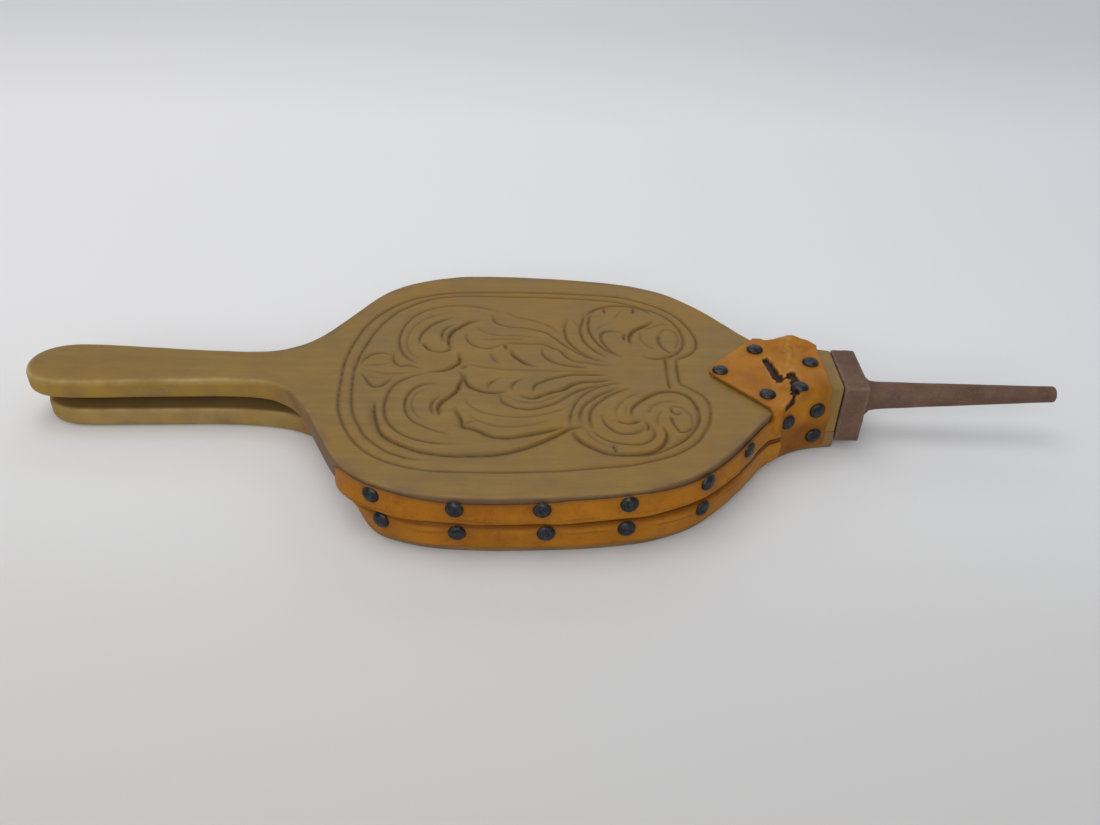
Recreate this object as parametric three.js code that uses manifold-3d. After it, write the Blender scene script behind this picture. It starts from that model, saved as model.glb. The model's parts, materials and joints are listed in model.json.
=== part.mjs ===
// Hand bellows: two paddle shaped boards joined by a folded leather gusset,
// with a leather covered nose block and a cast iron nozzle.
// Millimetres, +Z up. +X runs from the handles to the nozzle, the lower board
// stands on Z = 0 and Y = 0 is the plane of symmetry.

import * as THREE from 'three';
import { mergeVertices } from 'three/addons/utils/BufferGeometryUtils.js';
import Module from 'manifold-3d';

const wasm = await Module();
wasm.setup();

// ---------------------------------------------------------------- dimensions
const TIP_X = 270;            // nozzle tip; the upper handle ends at -TIP_X
const LOWER_TIP_X = -266.3;   // the lower handle is a little shorter
const UPPER_T = 12.2;         // upper board thickness
const UPPER_TOP_Z = 31.71;    // upper face of the upper board at X = 0
const UPPER_TILT = 0.01027;   // the closed boards are pinched at the handles
const LOWER_T = 14.0;         // lower board thickness at the chamber
const LOWER_THIN_T = 10.6;    // lower board thickness at handle and tongue
const LOWER_GROW = 0.8;       // the lower board is a little wider all round
const EDGE_BEVEL = 1.4;       // eased arris of the boards
const GAP = 0.3;              // running gap between neighbouring pieces

const UPPER_NOSE_X = 117;     // end of the upper board
const BLOCK_BACK_X = 119.3;   // nose block
const BLOCK_FRONT_X = 152.7;
const BLOCK_TOP_Z = 38.2;
const BLOCK_BORE_R = 6.0;
const BLOCK_BORE_Z = 19.5;

const FLANGE_T = 13;          // nozzle flange
const FLANGE_HALF_W = 18.8;
const FLANGE_Z0 = 4.7;
const FLANGE_Z1 = 38.3;
const NOZZLE_AXIS_Z = 20.9;   // tube axis where it meets the block
const NOZZLE_RISE = 0.042;    // tube axis rises towards the tip

const LEATHER_T = 1.4;
const LEATHER_TOP_DROP = 1.8; // bare wood left above the side leather
const LEATHER_LOW_Z = 4.6;    // lower edge of the side leather
const FOLD_DEPTH = 8;         // how far the closed gusset tucks in
const FOLD_Z = 16.6;          // height of the fold line

const TACK_R = 4.4;           // domed tack head
const TACK_DOME = 2.3;
const TACK_SHANK = 9;
const HOLE_R = 15;            // air intake in the lower board
const HOLE_X = -2;
const VALVE_T = 1.5;
const VALVE_HINGE_X = -27;

// Half widths of the boards along X, from the handle to the nose.
const HANDLE_HALF = (tip) => [
  [tip, 0], [tip + 0.4, 4.2], [tip + 1.9, 8.6], [tip + 5.4, 13], [tip + 10.8, 16.3],
  [tip + 17.5, 18.1], [tip + 25, 18.6],
];
const BODY_HALF = [
  [-234, 18.4], [-222, 17.7], [-211, 17], [-200, 16.4], [-190, 15.8], [-180, 15.2],
  [-170, 14.7], [-160, 14.5], [-151, 14.6], [-145, 15.3], [-139, 16.8], [-133, 20],
  [-128, 23.6], [-123.5, 28.5], [-119.5, 34.4], [-115, 42.4], [-110.5, 51], [-106, 59.6],
  [-101.5, 68], [-97, 75.6], [-91.5, 82.8], [-85, 88.6], [-77, 93.4], [-68, 97.4],
  [-59, 100.3], [-50, 102.1], [-40, 103], [-30, 103.3], [-20, 103.2], [-10, 102.7],
  [0, 102], [10, 101.3], [20, 100.3], [30, 98.8], [40, 97], [50, 94.5], [59, 91],
  [67, 87], [75, 81.5], [83, 73.8], [90, 66.2], [97, 57.4], [103, 49], [108, 42.2],
  [111.5, 38.2],
];
const UPPER_END_HALF = [[114.4, 34.6], [UPPER_NOSE_X, 32]];
const TONGUE_HALF = [
  [BLOCK_BACK_X, 31.4], [125, 27.4], [131, 23.9], [137, 21.4], [144, 19.5], [BLOCK_FRONT_X, 18],
];
const LOWER_END_HALF = [[115.4, 35]].concat(TONGUE_HALF);

// ------------------------------------------------------------------- helpers
const V2 = (x, y) => new THREE.Vector2(x, y);

function tidy(source) {
  const g = source.index ? source.toNonIndexed() : source.clone();
  for (const name of Object.keys(g.attributes)) if (name !== 'position') g.deleteAttribute(name);
  const m = mergeVertices(g, 1e-3);
  const idx = [];
  const p = m.attributes.position;
  const a = new THREE.Vector3(), b = new THREE.Vector3(), c = new THREE.Vector3();
  let vol = 0;
  for (let i = 0; i < m.index.count; i += 3) {
    const [i0, i1, i2] = [m.index.getX(i), m.index.getX(i + 1), m.index.getX(i + 2)];
    if (i0 === i1 || i1 === i2 || i2 === i0) continue;
    idx.push(i0, i1, i2);
    a.fromBufferAttribute(p, i0); b.fromBufferAttribute(p, i1); c.fromBufferAttribute(p, i2);
    vol += a.dot(b.clone().cross(c));
  }
  if (vol < 0) for (let i = 0; i < idx.length; i += 3) [idx[i + 1], idx[i + 2]] = [idx[i + 2], idx[i + 1]];
  m.setIndex(idx);
  return m;
}

function solid(geometry, matrix) {
  const g = geometry.clone();
  if (matrix) g.applyMatrix4(matrix);
  const t = tidy(g);
  return new wasm.Manifold(new wasm.Mesh({
    numProp: 3,
    vertProperties: new Float32Array(t.attributes.position.array),
    triVerts: new Uint32Array(t.index.array),
  }));
}

function geometryOf(manifold) {
  const pieces = manifold.decompose();
  pieces.sort((p, q) => q.volume() - p.volume());
  const m = pieces[0].getMesh();
  const g = new THREE.BufferGeometry();
  g.setAttribute('position', new THREE.BufferAttribute(new Float32Array(m.vertProperties), 3));
  g.setIndex(new THREE.BufferAttribute(new Uint32Array(m.triVerts), 1));
  g.computeVertexNormals();
  return g;
}

function finish(geometry) {
  const t = tidy(geometry);
  t.computeVertexNormals();
  return t;
}

function material(color, roughness, metalness) {
  return new THREE.MeshStandardMaterial({ color, roughness, metalness });
}
const WOOD = material(0x86693d, 0.62, 0);
const LEATHER = material(0xa2641f, 0.6, 0);
const INNER_LEATHER = material(0x7c5a36, 0.75, 0);
const IRON = material(0x55423c, 0.72, 0.6);
const TACK = material(0x39424c, 0.45, 0.8);
const SCREW = material(0x6d6a66, 0.45, 0.85);

const root = new THREE.Group();
const upperGroup = new THREE.Group();
upperGroup.position.z = UPPER_TOP_Z;
upperGroup.rotation.y = -UPPER_TILT;
root.add(upperGroup);
root.updateMatrixWorld(true);

function add(name, geometry, mat, parent = root) {
  const mesh = new THREE.Mesh(geometry, mat);
  mesh.name = name;
  parent.add(mesh);
  mesh.updateMatrixWorld(true);
  return mesh;
}

// Closed plan outline from half widths, mirrored in Y. endFlat keeps the last
// point on both sides as the two corners of a straight end.
function loop(half) {
  const near = half.map(([x, w]) => V2(x, -w));
  const far = half.slice().reverse().filter(([, w]) => w > 0).map(([x, w]) => V2(x, w));
  return near.concat(far);
}

function offset(points, d) {
  const n = points.length;
  return points.map((p, i) => {
    const a = points[(i + n - 1) % n], b = points[(i + 1) % n];
    const e1 = p.clone().sub(a).normalize(), e2 = b.clone().sub(p).normalize();
    const n1 = V2(e1.y, -e1.x), n2 = V2(e2.y, -e2.x);
    const m = n1.clone().add(n2);
    const len = Math.max(m.lengthSq() / 2, 0.35);
    return p.clone().add(m.multiplyScalar(d / len));
  });
}

function plate(points, z0, z1, bevel = 0) {
  const shape = new THREE.Shape(points);
  const g = new THREE.ExtrudeGeometry(shape, bevel > 0
    ? { depth: z1 - z0 - 2 * bevel, bevelEnabled: true, bevelSize: bevel, bevelOffset: -bevel, bevelThickness: bevel, bevelSegments: 1, steps: 1 }
    : { depth: z1 - z0, bevelEnabled: false, steps: 1 });
  g.translate(0, 0, z0 + bevel);
  return g;
}

// A profile drawn in X and Z, run across the whole width from -y to +y.
function across(points, y) {
  const g = new THREE.ExtrudeGeometry(new THREE.Shape(points), { depth: 2 * y, bevelEnabled: false, steps: 1 });
  g.applyMatrix4(new THREE.Matrix4().makeRotationX(Math.PI / 2));
  g.translate(0, y, 0);
  return g;
}

function lathe(points, segments) {
  return new THREE.LatheGeometry(points.map(([r, y]) => V2(r, y)), segments);
}

function rod(r, length, segments) {
  return lathe([[0, 0], [r, 0], [r, length], [0, length]], segments);
}

// A closed body swept along a plan path. section(point, i) gives the section
// as [outward offset, z] pairs, counter clockwise.
function sweep(path, section) {
  const n = path.length;
  const rings = path.map((p, i) => {
    const a = path[Math.max(i - 1, 0)], b = path[Math.min(i + 1, n - 1)];
    const d = b.clone().sub(a).normalize();
    const out = V2(-d.y, d.x);
    return section(p, i).map(([o, z]) => [p.x + out.x * o, p.y + out.y * o, z]);
  });
  const k = rings[0].length;
  const pos = rings.flat(2);
  const idx = [];
  for (let i = 0; i + 1 < n; i++) {
    for (let j = 0; j < k; j++) {
      const a = i * k + j, b = i * k + (j + 1) % k, c = b + k, e = a + k;
      idx.push(a, b, c, a, c, e);
    }
  }
  const cap = THREE.ShapeUtils.triangulateShape(section(path[0], 0).map(([o, z]) => V2(o, z)), []);
  for (const [a, b, c] of cap) {
    idx.push(a, c, b);
    idx.push((n - 1) * k + a, (n - 1) * k + b, (n - 1) * k + c);
  }
  const g = new THREE.BufferGeometry();
  g.setAttribute('position', new THREE.BufferAttribute(new Float32Array(pos), 3));
  g.setIndex(idx);
  return g;
}

// ------------------------------------------------------------------ outlines
const upperOutline = loop(HANDLE_HALF(-TIP_X).concat(BODY_HALF, UPPER_END_HALF));
const lowerHalf = HANDLE_HALF(LOWER_TIP_X).concat(
  BODY_HALF.map(([x, w]) => [x, w + (x > -112 ? LOWER_GROW : LOWER_GROW * Math.max(0, (x + 132) / 20))]),
  LOWER_END_HALF,
);
const lowerOutline = loop(lowerHalf);
const blockHalf = TONGUE_HALF;
const blockOutline = loop(blockHalf);

// Point and outward normal on a board's near edge at a given X.
function edgeAt(half, x, grow) {
  for (let i = 0; i + 1 < half.length; i++) {
    const [x0, w0] = half[i], [x1, w1] = half[i + 1];
    if (x >= x0 && x <= x1 && x1 > x0) {
      const t = (x - x0) / (x1 - x0);
      const lo = half[Math.max(i - 1, 0)], hi = half[Math.min(i + 2, half.length - 1)];
      const dx = hi[0] - lo[0], dw = hi[1] - lo[1];
      const n = V2(-dw, dx).normalize();
      const w = w0 + (w1 - w0) * t;
      return { x: x + n.x * grow, w: w + n.y * grow, nx: n.x, nw: n.y };
    }
  }
  throw new Error('no edge at ' + x);
}

// --------------------------------------------------------------------- tacks
const TACK_PROFILE = [
  [0, -TACK_SHANK], [0.95, 0], [TACK_R, 0], [TACK_R * 0.72, 1.5], [0, TACK_DOME],
];
const SHANK_HOLE = rod(1.4, TACK_SHANK + 2.4, 6).translate(0, -TACK_SHANK - 0.4, 0);
const UP = new THREE.Vector3(0, 1, 0);
const tacks = [];

function tack(name, position, normal, parent) {
  const mesh = add(name, finish(lathe(TACK_PROFILE, 8)), TACK, parent);
  mesh.position.copy(position);
  mesh.quaternion.setFromUnitVectors(UP, normal.clone().normalize());
  mesh.updateMatrixWorld(true);
  tacks.push(mesh);
  return mesh;
}

const bodyHalf = BODY_HALF.concat(UPPER_END_HALF);
const seat = GAP + LEATHER_T + GAP;
const upperXs = [-75, -37.5, 1, 39.5, 75.5, 98];
const upperDrop = [5.2, 5.2, 5.6, 5.2, 5.4, 5.6];
const lowerXs = [-71, -36.5, 3, 39, 74];
for (const [side, s] of [['near', -1], ['far', 1]]) {
  upperXs.forEach((x, i) => {
    const e = edgeAt(bodyHalf, x, seat);
    tack(`upper_tack_${side}_${i + 1}`, new THREE.Vector3(e.x, s * e.w, -upperDrop[i]),
      new THREE.Vector3(e.nx, s * e.nw, 0), upperGroup);
  });
  lowerXs.forEach((x, i) => {
    const e = edgeAt(bodyHalf, x, seat + LOWER_GROW);
    tack(`lower_tack_${side}_${i + 1}`, new THREE.Vector3(e.x, s * e.w, 12.1),
      new THREE.Vector3(e.nx, s * e.nw, 0), root);
  });
  [[122.5, 24.8], [139, 27], [139.8, 11]].forEach(([x, z], i) => {
    const e = edgeAt(blockHalf, x, seat);
    tack(`block_side_tack_${side}_${i + 1}`, new THREE.Vector3(e.x, s * e.w, z),
      new THREE.Vector3(e.nx, s * e.nw, 0), root);
  });
  tack(`flap_tack_${side}`, new THREE.Vector3(113.4, s * 21.2, seat), new THREE.Vector3(0, 0, 1), upperGroup);
}
tack('block_top_tack_front', new THREE.Vector3(138.5, 1.5, BLOCK_TOP_Z + seat), new THREE.Vector3(0, 0, 1), root);
tack('block_top_tack_rear', new THREE.Vector3(128.8, -21.6, BLOCK_TOP_Z + seat), new THREE.Vector3(0, 0, 1), root);
tack('flap_tack_tip', new THREE.Vector3(92, 0, seat), new THREE.Vector3(0, 0, 1), upperGroup);

// ---------------------------------------------------------------- wood parts
let upper = solid(plate(upperOutline, -UPPER_T, 0, EDGE_BEVEL));
const toUpper = upperGroup.matrixWorld.clone().invert();
for (const t of tacks) {
  if (t.parent === upperGroup) upper = upper.subtract(solid(SHANK_HOLE, toUpper.clone().multiply(t.matrixWorld)));
}
add('upper_board', geometryOf(upper), WOOD, upperGroup);

const thinEnds = (x0, x1, sign) => across([
  V2(x0, LOWER_T + 5), V2(x0, LOWER_T), V2(x1, LOWER_THIN_T), V2(x1 + sign * 200, LOWER_THIN_T), V2(x1 + sign * 200, LOWER_T + 5),
], 130);
let lower = solid(plate(lowerOutline, 0, LOWER_T, EDGE_BEVEL))
  .subtract(solid(thinEnds(-104, -124, -1)))
  .subtract(solid(thinEnds(112.5, 118.9, 1)))
  .subtract(solid(rod(HOLE_R, LOWER_T + 4, 32).rotateX(Math.PI / 2).translate(HOLE_X, 0, -2)));

const blockRear = across([V2(BLOCK_BACK_X - 4, 33.2), V2(BLOCK_BACK_X, 33.2), V2(BLOCK_BACK_X + 7.4, BLOCK_TOP_Z + 0.001), V2(BLOCK_BACK_X + 7.4, 50), V2(BLOCK_BACK_X - 4, 50)], 60);
const alongX = new THREE.Matrix4().makeRotationZ(-Math.PI / 2);
let block = solid(plate(blockOutline, LOWER_THIN_T + GAP, BLOCK_TOP_Z))
  .subtract(solid(blockRear))
  .subtract(solid(rod(BLOCK_BORE_R, 60, 24).applyMatrix4(alongX).translate(110, 0, BLOCK_BORE_Z)));

// Countersunk wood screw along +Y of its own frame, head face at Y = 0.
const screwProfile = (headR, shankR, length) => [
  [0, -length], [shankR * 0.55, -length + 3], [shankR, -length + 7], [shankR, -headR + shankR - 0.6],
  [headR, -0.6], [headR, 0], [0, 0],
];
function screwSet(name, position, normal, headR, shankR, length) {
  const mesh = add(name, finish(lathe(screwProfile(headR, shankR, length), 12)), SCREW);
  mesh.position.copy(position);
  mesh.quaternion.setFromUnitVectors(UP, normal);
  mesh.updateMatrixWorld(true);
  const cut = lathe([[0, -length - 0.5], [shankR + 0.35, -length - 0.5], [shankR + 0.35, -headR + shankR - 0.6],
    [headR + 0.35, -0.6], [headR + 0.35, 1.5], [0, 1.5]], 12);
  return solid(cut, mesh.matrixWorld);
}
const below = new THREE.Vector3(0, 0, -1);
const front = new THREE.Vector3(1, 0, 0);
const flangeFront = BLOCK_FRONT_X + GAP + FLANGE_T;
const screwCuts = [];
for (const [side, s] of [['near', -1], ['far', 1]]) {
  screwCuts.push(screwSet(`block_screw_${side}`, new THREE.Vector3(129, s * 14.5, 0.3), below, 4.2, 2.1, 27));
  screwCuts.push(screwSet(`flange_screw_${side}_top`, new THREE.Vector3(flangeFront - 0.2, s * 13.6, 33), front, 3.8, 2.0, 30));
  screwCuts.push(screwSet(`flange_screw_${side}_low`, new THREE.Vector3(flangeFront - 0.2, s * 13.6, 14.4), front, 3.8, 2.0, 30));
}

// -------------------------------------------------------------------- nozzle
const rise = Math.atan(NOZZLE_RISE);
const flangeBack = BLOCK_FRONT_X + GAP;
const tipS = (TIP_X - flangeBack - 3.9 * Math.sin(rise)) / Math.cos(rise);
const along = new THREE.Matrix4().makeTranslation(flangeBack, 0, NOZZLE_AXIS_Z)
  .multiply(new THREE.Matrix4().makeRotationZ(0))
  .multiply(new THREE.Matrix4().makeRotationY(-rise))
  .multiply(new THREE.Matrix4().makeRotationZ(-Math.PI / 2));
let nozzle = solid(new THREE.BoxGeometry(FLANGE_T, 2 * FLANGE_HALF_W, FLANGE_Z1 - FLANGE_Z0)
  .translate(flangeBack + FLANGE_T / 2, 0, (FLANGE_Z0 + FLANGE_Z1) / 2));
nozzle = nozzle.add(solid(lathe([
  [0, 6], [11.2, 6], [11.2, 15.6], [10.4, 17.1], [8.6, 18.6], [7.7, 21], [7.3, 24], [6.3, 52], [5.4, 80],
  [4.45, 108], [4.35, tipS - 1.4], [3.9, tipS], [0, tipS],
], 24), along));
nozzle = nozzle.subtract(solid(lathe([
  [0, -3], [6.6, -3], [6.5, 0], [4.3, 19], [2.75, tipS + 0.5], [2.75, tipS + 3], [0, tipS + 3],
], 20), along));

for (const cut of screwCuts) {
  lower = lower.subtract(cut);
  block = block.subtract(cut);
  nozzle = nozzle.subtract(cut);
}
for (const t of tacks) {
  if (t.parent !== root) continue;
  const hole = solid(SHANK_HOLE, t.matrixWorld);
  if (t.name.startsWith('lower_tack')) lower = lower.subtract(hole);
  if (t.name.startsWith('block_side')) { lower = lower.subtract(hole); block = block.subtract(hole); }
  if (t.name.startsWith('block_top')) block = block.subtract(hole);
}

// --------------------------------------------------------------------- valve
const valveTackX = VALVE_HINGE_X - 6;
const valveZ = LOWER_T + GAP;
const flapFront = 24;
const flapOutline = [
  V2(VALVE_HINGE_X + GAP, -21), V2(14, -21), V2(21, -18), V2(flapFront, -11),
  V2(flapFront, 11), V2(21, 18), V2(14, 21), V2(VALVE_HINGE_X + GAP, 21),
];
add('valve_flap', finish(plate(flapOutline, valveZ, valveZ + VALVE_T)), INNER_LEATHER);
let strip = solid(new THREE.BoxGeometry(12, 42, VALVE_T).translate(VALVE_HINGE_X - 6, 0, valveZ + VALVE_T / 2));
for (const [side, s] of [['near', -1], ['far', 1]]) {
  const mesh = add(`valve_tack_${side}`, finish(lathe([
    [0, -9], [0.7, -1], [0.7, 0], [2.6, 0], [2.2, 0.7], [0, 1.1],
  ], 8)), TACK);
  mesh.position.set(valveTackX, s * 14, valveZ + VALVE_T + GAP);
  mesh.rotation.x = Math.PI / 2;
  mesh.updateMatrixWorld(true);
  const hole = solid(rod(1.05, 12, 8).translate(0, -9.4, 0), mesh.matrixWorld);
  strip = strip.subtract(hole);
  lower = lower.subtract(hole);
}
add('valve_strip', geometryOf(strip), INNER_LEATHER);

add('lower_board', geometryOf(lower), WOOD);
add('nose_block', geometryOf(block), WOOD);
add('nozzle', geometryOf(nozzle), IRON);

// -------------------------------------------------------------- side leather
const upperZ = (x) => UPPER_TOP_Z + UPPER_TILT * x;
const halfPath = [V2(119, -32.2), V2(115.6, -35)]
  .concat(BODY_HALF.filter(([x]) => x >= -120).reverse().map(([x, w]) => V2(x, -w)))
  .concat([V2(-123.4, -27.6), V2(-126, -20.5), V2(-127.6, -12.5), V2(-128.4, -4.2)]);
const path = halfPath.concat(halfPath.slice().reverse().map((p) => V2(p.x, -p.y)));
const outU = GAP + LEATHER_T, outL = outU + LOWER_GROW;
const ring = sweep(path, (p) => {
  const top = upperZ(p.x) - LEATHER_TOP_DROP;
  return [[outL, LEATHER_LOW_Z], [outL, FOLD_Z - 1.6], [outU, FOLD_Z + 0.6], [outU, top], [-FOLD_DEPTH, top], [-FOLD_DEPTH, LEATHER_LOW_Z]];
});
const notch = sweep(path, () => [[outL + 2, FOLD_Z - 1.3], [outL + 2, FOLD_Z + 1.3], [-FOLD_DEPTH + 2, FOLD_Z + 0.05], [-FOLD_DEPTH + 2, FOLD_Z - 0.05]]);
const upperClear = solid(plate(offset(upperOutline, GAP), -UPPER_T - GAP, GAP), upperGroup.matrixWorld);
const lowerClear = solid(plate(offset(lowerOutline, GAP), -1, LOWER_T + GAP))
  .subtract(solid(thinEnds(-104, -124, -1).translate(0, 0, GAP)))
  .subtract(solid(thinEnds(112.5, 118.9, 1).translate(0, 0, GAP)));
let side = solid(ring).subtract(solid(notch)).subtract(upperClear).subtract(lowerClear);

// -------------------------------------------------------------- nose leather
const z = (x, d) => upperZ(x) + d;
const sheet = (d) => [V2(84, z(84, d)), V2(117.6, z(117.6, d)), V2(119.4, 33.5 + d), V2(BLOCK_BACK_X + 7.4, BLOCK_TOP_Z + d), V2(147, BLOCK_TOP_Z + d)];
const sheetProfile = sheet(GAP).concat(sheet(GAP + LEATHER_T).reverse());
const capHalf = [
  [86.5, 0], [88.5, 4.2], [111, 30.6], [114.6, 33.4], [118.6, 33.8], [120, 32.6], [125, 29.1],
  [131, 25.6], [137, 23.1], [147, 20.6],
];
const capOutline = loop(capHalf);
const wallOuter = offset(blockOutline, GAP + LEATHER_T), wallInner = offset(blockOutline, GAP);
const window = solid(new THREE.BoxGeometry(147 - 120, 90, BLOCK_TOP_Z + GAP + 0.5 - 3.4)
  .translate((147 + 120) / 2, 0, (BLOCK_TOP_Z + GAP + 0.5 + 3.4) / 2));
let nose = solid(across(sheetProfile, 45)).intersect(solid(plate(capOutline, 20, 50)));
nose = nose.add(solid(plate(wallOuter, 0, 45)).subtract(solid(plate(wallInner, -1, 46))).intersect(window)
  .subtract(solid(across([V2(100, z(100, GAP + 0.6)), V2(117.6, z(117.6, GAP + 0.6)), V2(119.4, 34.4), V2(BLOCK_BACK_X + 7.4, BLOCK_TOP_Z + GAP + 0.6), V2(160, BLOCK_TOP_Z + GAP + 0.6), V2(160, 60), V2(100, 60)], 45))));

for (const t of tacks) {
  const hole = solid(SHANK_HOLE, t.matrixWorld);
  if (t.name.startsWith('upper_tack') || t.name.startsWith('lower_tack')) side = side.subtract(hole);
  else nose = nose.subtract(hole);
}
add('side_leather', geometryOf(side), LEATHER);
add('nose_leather', geometryOf(nose), LEATHER);

export default root;
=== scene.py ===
import json
import math

import bpy
import numpy as np
from mathutils import Matrix, Vector

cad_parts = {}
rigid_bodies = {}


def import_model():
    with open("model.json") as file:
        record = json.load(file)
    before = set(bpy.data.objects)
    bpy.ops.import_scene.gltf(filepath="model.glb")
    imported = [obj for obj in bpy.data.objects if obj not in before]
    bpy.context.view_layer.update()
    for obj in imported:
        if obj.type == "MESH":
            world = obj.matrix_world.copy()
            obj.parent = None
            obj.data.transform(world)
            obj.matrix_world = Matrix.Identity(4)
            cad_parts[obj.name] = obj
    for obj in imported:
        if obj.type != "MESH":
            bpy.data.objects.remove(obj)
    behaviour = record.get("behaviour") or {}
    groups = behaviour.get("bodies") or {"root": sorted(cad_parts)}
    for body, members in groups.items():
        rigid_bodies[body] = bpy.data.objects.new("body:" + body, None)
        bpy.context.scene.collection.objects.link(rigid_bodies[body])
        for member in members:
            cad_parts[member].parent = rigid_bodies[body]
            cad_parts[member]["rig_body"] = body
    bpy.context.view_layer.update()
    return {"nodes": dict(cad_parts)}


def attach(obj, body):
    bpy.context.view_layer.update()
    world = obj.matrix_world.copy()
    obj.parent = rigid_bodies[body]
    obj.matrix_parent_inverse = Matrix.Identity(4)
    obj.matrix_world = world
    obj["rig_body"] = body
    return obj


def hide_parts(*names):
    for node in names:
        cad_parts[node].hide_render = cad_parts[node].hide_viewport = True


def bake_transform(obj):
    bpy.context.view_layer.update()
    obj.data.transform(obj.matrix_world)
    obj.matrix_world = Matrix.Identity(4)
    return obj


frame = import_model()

NODES = frame["nodes"]
MM = 0.001

# ------------------------------------------------------------------ outlines
TIP_X, LOWER_TIP_X = 270.0, -266.3
UPPER_T, UPPER_TOP_Z, UPPER_TILT = 12.2, 31.71, 0.01027
LOWER_T, LOWER_THIN_T = 14.0, 10.6


def handle_half(tip):
    return [(tip, 0), (tip + 0.4, 4.2), (tip + 1.9, 8.6), (tip + 5.4, 13), (tip + 10.8, 16.3),
            (tip + 17.5, 18.1), (tip + 25, 18.6)]


BODY_HALF = [
    (-234, 18.4), (-222, 17.7), (-211, 17), (-200, 16.4), (-190, 15.8), (-180, 15.2),
    (-170, 14.7), (-160, 14.5), (-151, 14.6), (-145, 15.3), (-139, 16.8), (-133, 20),
    (-128, 23.6), (-123.5, 28.5), (-119.5, 34.4), (-115, 42.4), (-110.5, 51), (-106, 59.6),
    (-101.5, 68), (-97, 75.6), (-91.5, 82.8), (-85, 88.6), (-77, 93.4), (-68, 97.4),
    (-59, 100.3), (-50, 102.1), (-40, 103), (-30, 103.3), (-20, 103.2), (-10, 102.7),
    (0, 102), (10, 101.3), (20, 100.3), (30, 98.8), (40, 97), (50, 94.5), (59, 91),
    (67, 87), (75, 81.5), (83, 73.8), (90, 66.2), (97, 57.4), (103, 49), (108, 42.2),
    (111.5, 38.2)]
UPPER_END = [(114.4, 34.6), (117, 32)]
TONGUE = [(119.3, 31.4), (125, 27.4), (131, 23.9), (137, 21.4), (144, 19.5), (152.7, 18)]
UPPER_HALF = handle_half(-TIP_X) + BODY_HALF + UPPER_END
LOWER_HALF = handle_half(LOWER_TIP_X) + [
    (x, w + (0.8 if x > -112 else 0.8 * max(0.0, (x + 132) / 20))) for x, w in BODY_HALF
] + [(115.4, 35)] + TONGUE


def catmull(points, step, closed=False):
    """Centripetal Catmull-Rom through points, sampled about every step."""
    p = np.array(points, float)
    if closed:
        p = np.vstack([p[-1], p, p[0], p[1]])
    else:
        p = np.vstack([2 * p[0] - p[1], p, 2 * p[-1] - p[-2]])
    out = []
    for i in range(1, len(p) - 2):
        p0, p1, p2, p3 = p[i - 1:i + 3]
        t1 = max(np.linalg.norm(p1 - p0), 1e-6) ** 0.5
        t2 = t1 + max(np.linalg.norm(p2 - p1), 1e-6) ** 0.5
        t3 = t2 + max(np.linalg.norm(p3 - p2), 1e-6) ** 0.5
        n = max(1, int(math.ceil(np.linalg.norm(p2 - p1) / step)))
        t = (t1 + (t2 - t1) * np.arange(n) / n)[:, None]
        a1 = (t1 - t) / t1 * p0 + t / t1 * p1
        a2 = (t2 - t) / (t2 - t1) * p1 + (t - t1) / (t2 - t1) * p2
        a3 = (t3 - t) / (t3 - t2) * p2 + (t - t2) / (t3 - t2) * p3
        b1 = (t2 - t) / t2 * a1 + t / t2 * a2
        b2 = (t3 - t) / (t3 - t1) * a2 + (t - t1) / (t3 - t1) * a3
        out.append((t2 - t) / (t2 - t1) * b1 + (t - t1) / (t2 - t1) * b2)
    if not closed:
        out.append(p[-2][None])
    return np.vstack(out)


def smooth_half(half):
    """Dense (x, half width) rows; the tip is round because its mirror image leads in."""
    tip = [(half[2][0], -half[2][1]), (half[1][0], -half[1][1])]
    c = catmull(tip + list(half), 0.4)
    k = int(np.argmin(c[:len(c) // 4, 0] + (c[:len(c) // 4, 1] < -0.01) * 1e3))
    c = c[k:]
    c[0] = half[0]
    x = np.maximum.accumulate(c[:, 0])
    return np.column_stack([x, np.maximum(c[:, 1], 0)])


UP = smooth_half(UPPER_HALF)
LO = smooth_half(LOWER_HALF)


def half_at(curve, x):
    return np.interp(x, curve[:, 0], curve[:, 1])


def upper_z(x):
    return UPPER_TOP_Z + UPPER_TILT * x


def smoothstep(a, b, x):
    t = np.clip((np.asarray(x, float) - a) / (b - a), 0, 1)
    return t * t * (3 - 2 * t)


def waves(seed, lo, hi, n=7):
    """A smooth, fixed random function of one coordinate, about -1 to 1."""
    r = np.random.RandomState(seed)
    k = 2 * math.pi / r.uniform(lo, hi, n)
    ph = r.uniform(0, 2 * math.pi, n)
    a = r.uniform(0.5, 1, n)
    a = a / a.sum() * 1.6
    return lambda x: np.clip(sum(a[i] * np.sin(k[i] * np.asarray(x, float) + ph[i]) for i in range(n)), -1.2, 1.2)


def waves2(seed, lo, hi, n=14):
    """The same in two coordinates."""
    r = np.random.RandomState(seed)
    k = 2 * math.pi / r.uniform(lo, hi, n)
    th = r.uniform(0, 2 * math.pi, n)
    ph = r.uniform(0, 2 * math.pi, n)
    a = r.uniform(0.5, 1, n)
    a = a / a.sum() * 2.2
    return lambda x, y: np.clip(sum(a[i] * np.sin(k[i] * (np.cos(th[i]) * x + np.sin(th[i]) * y) + ph[i]) for i in range(n)), -1.4, 1.4)


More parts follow.
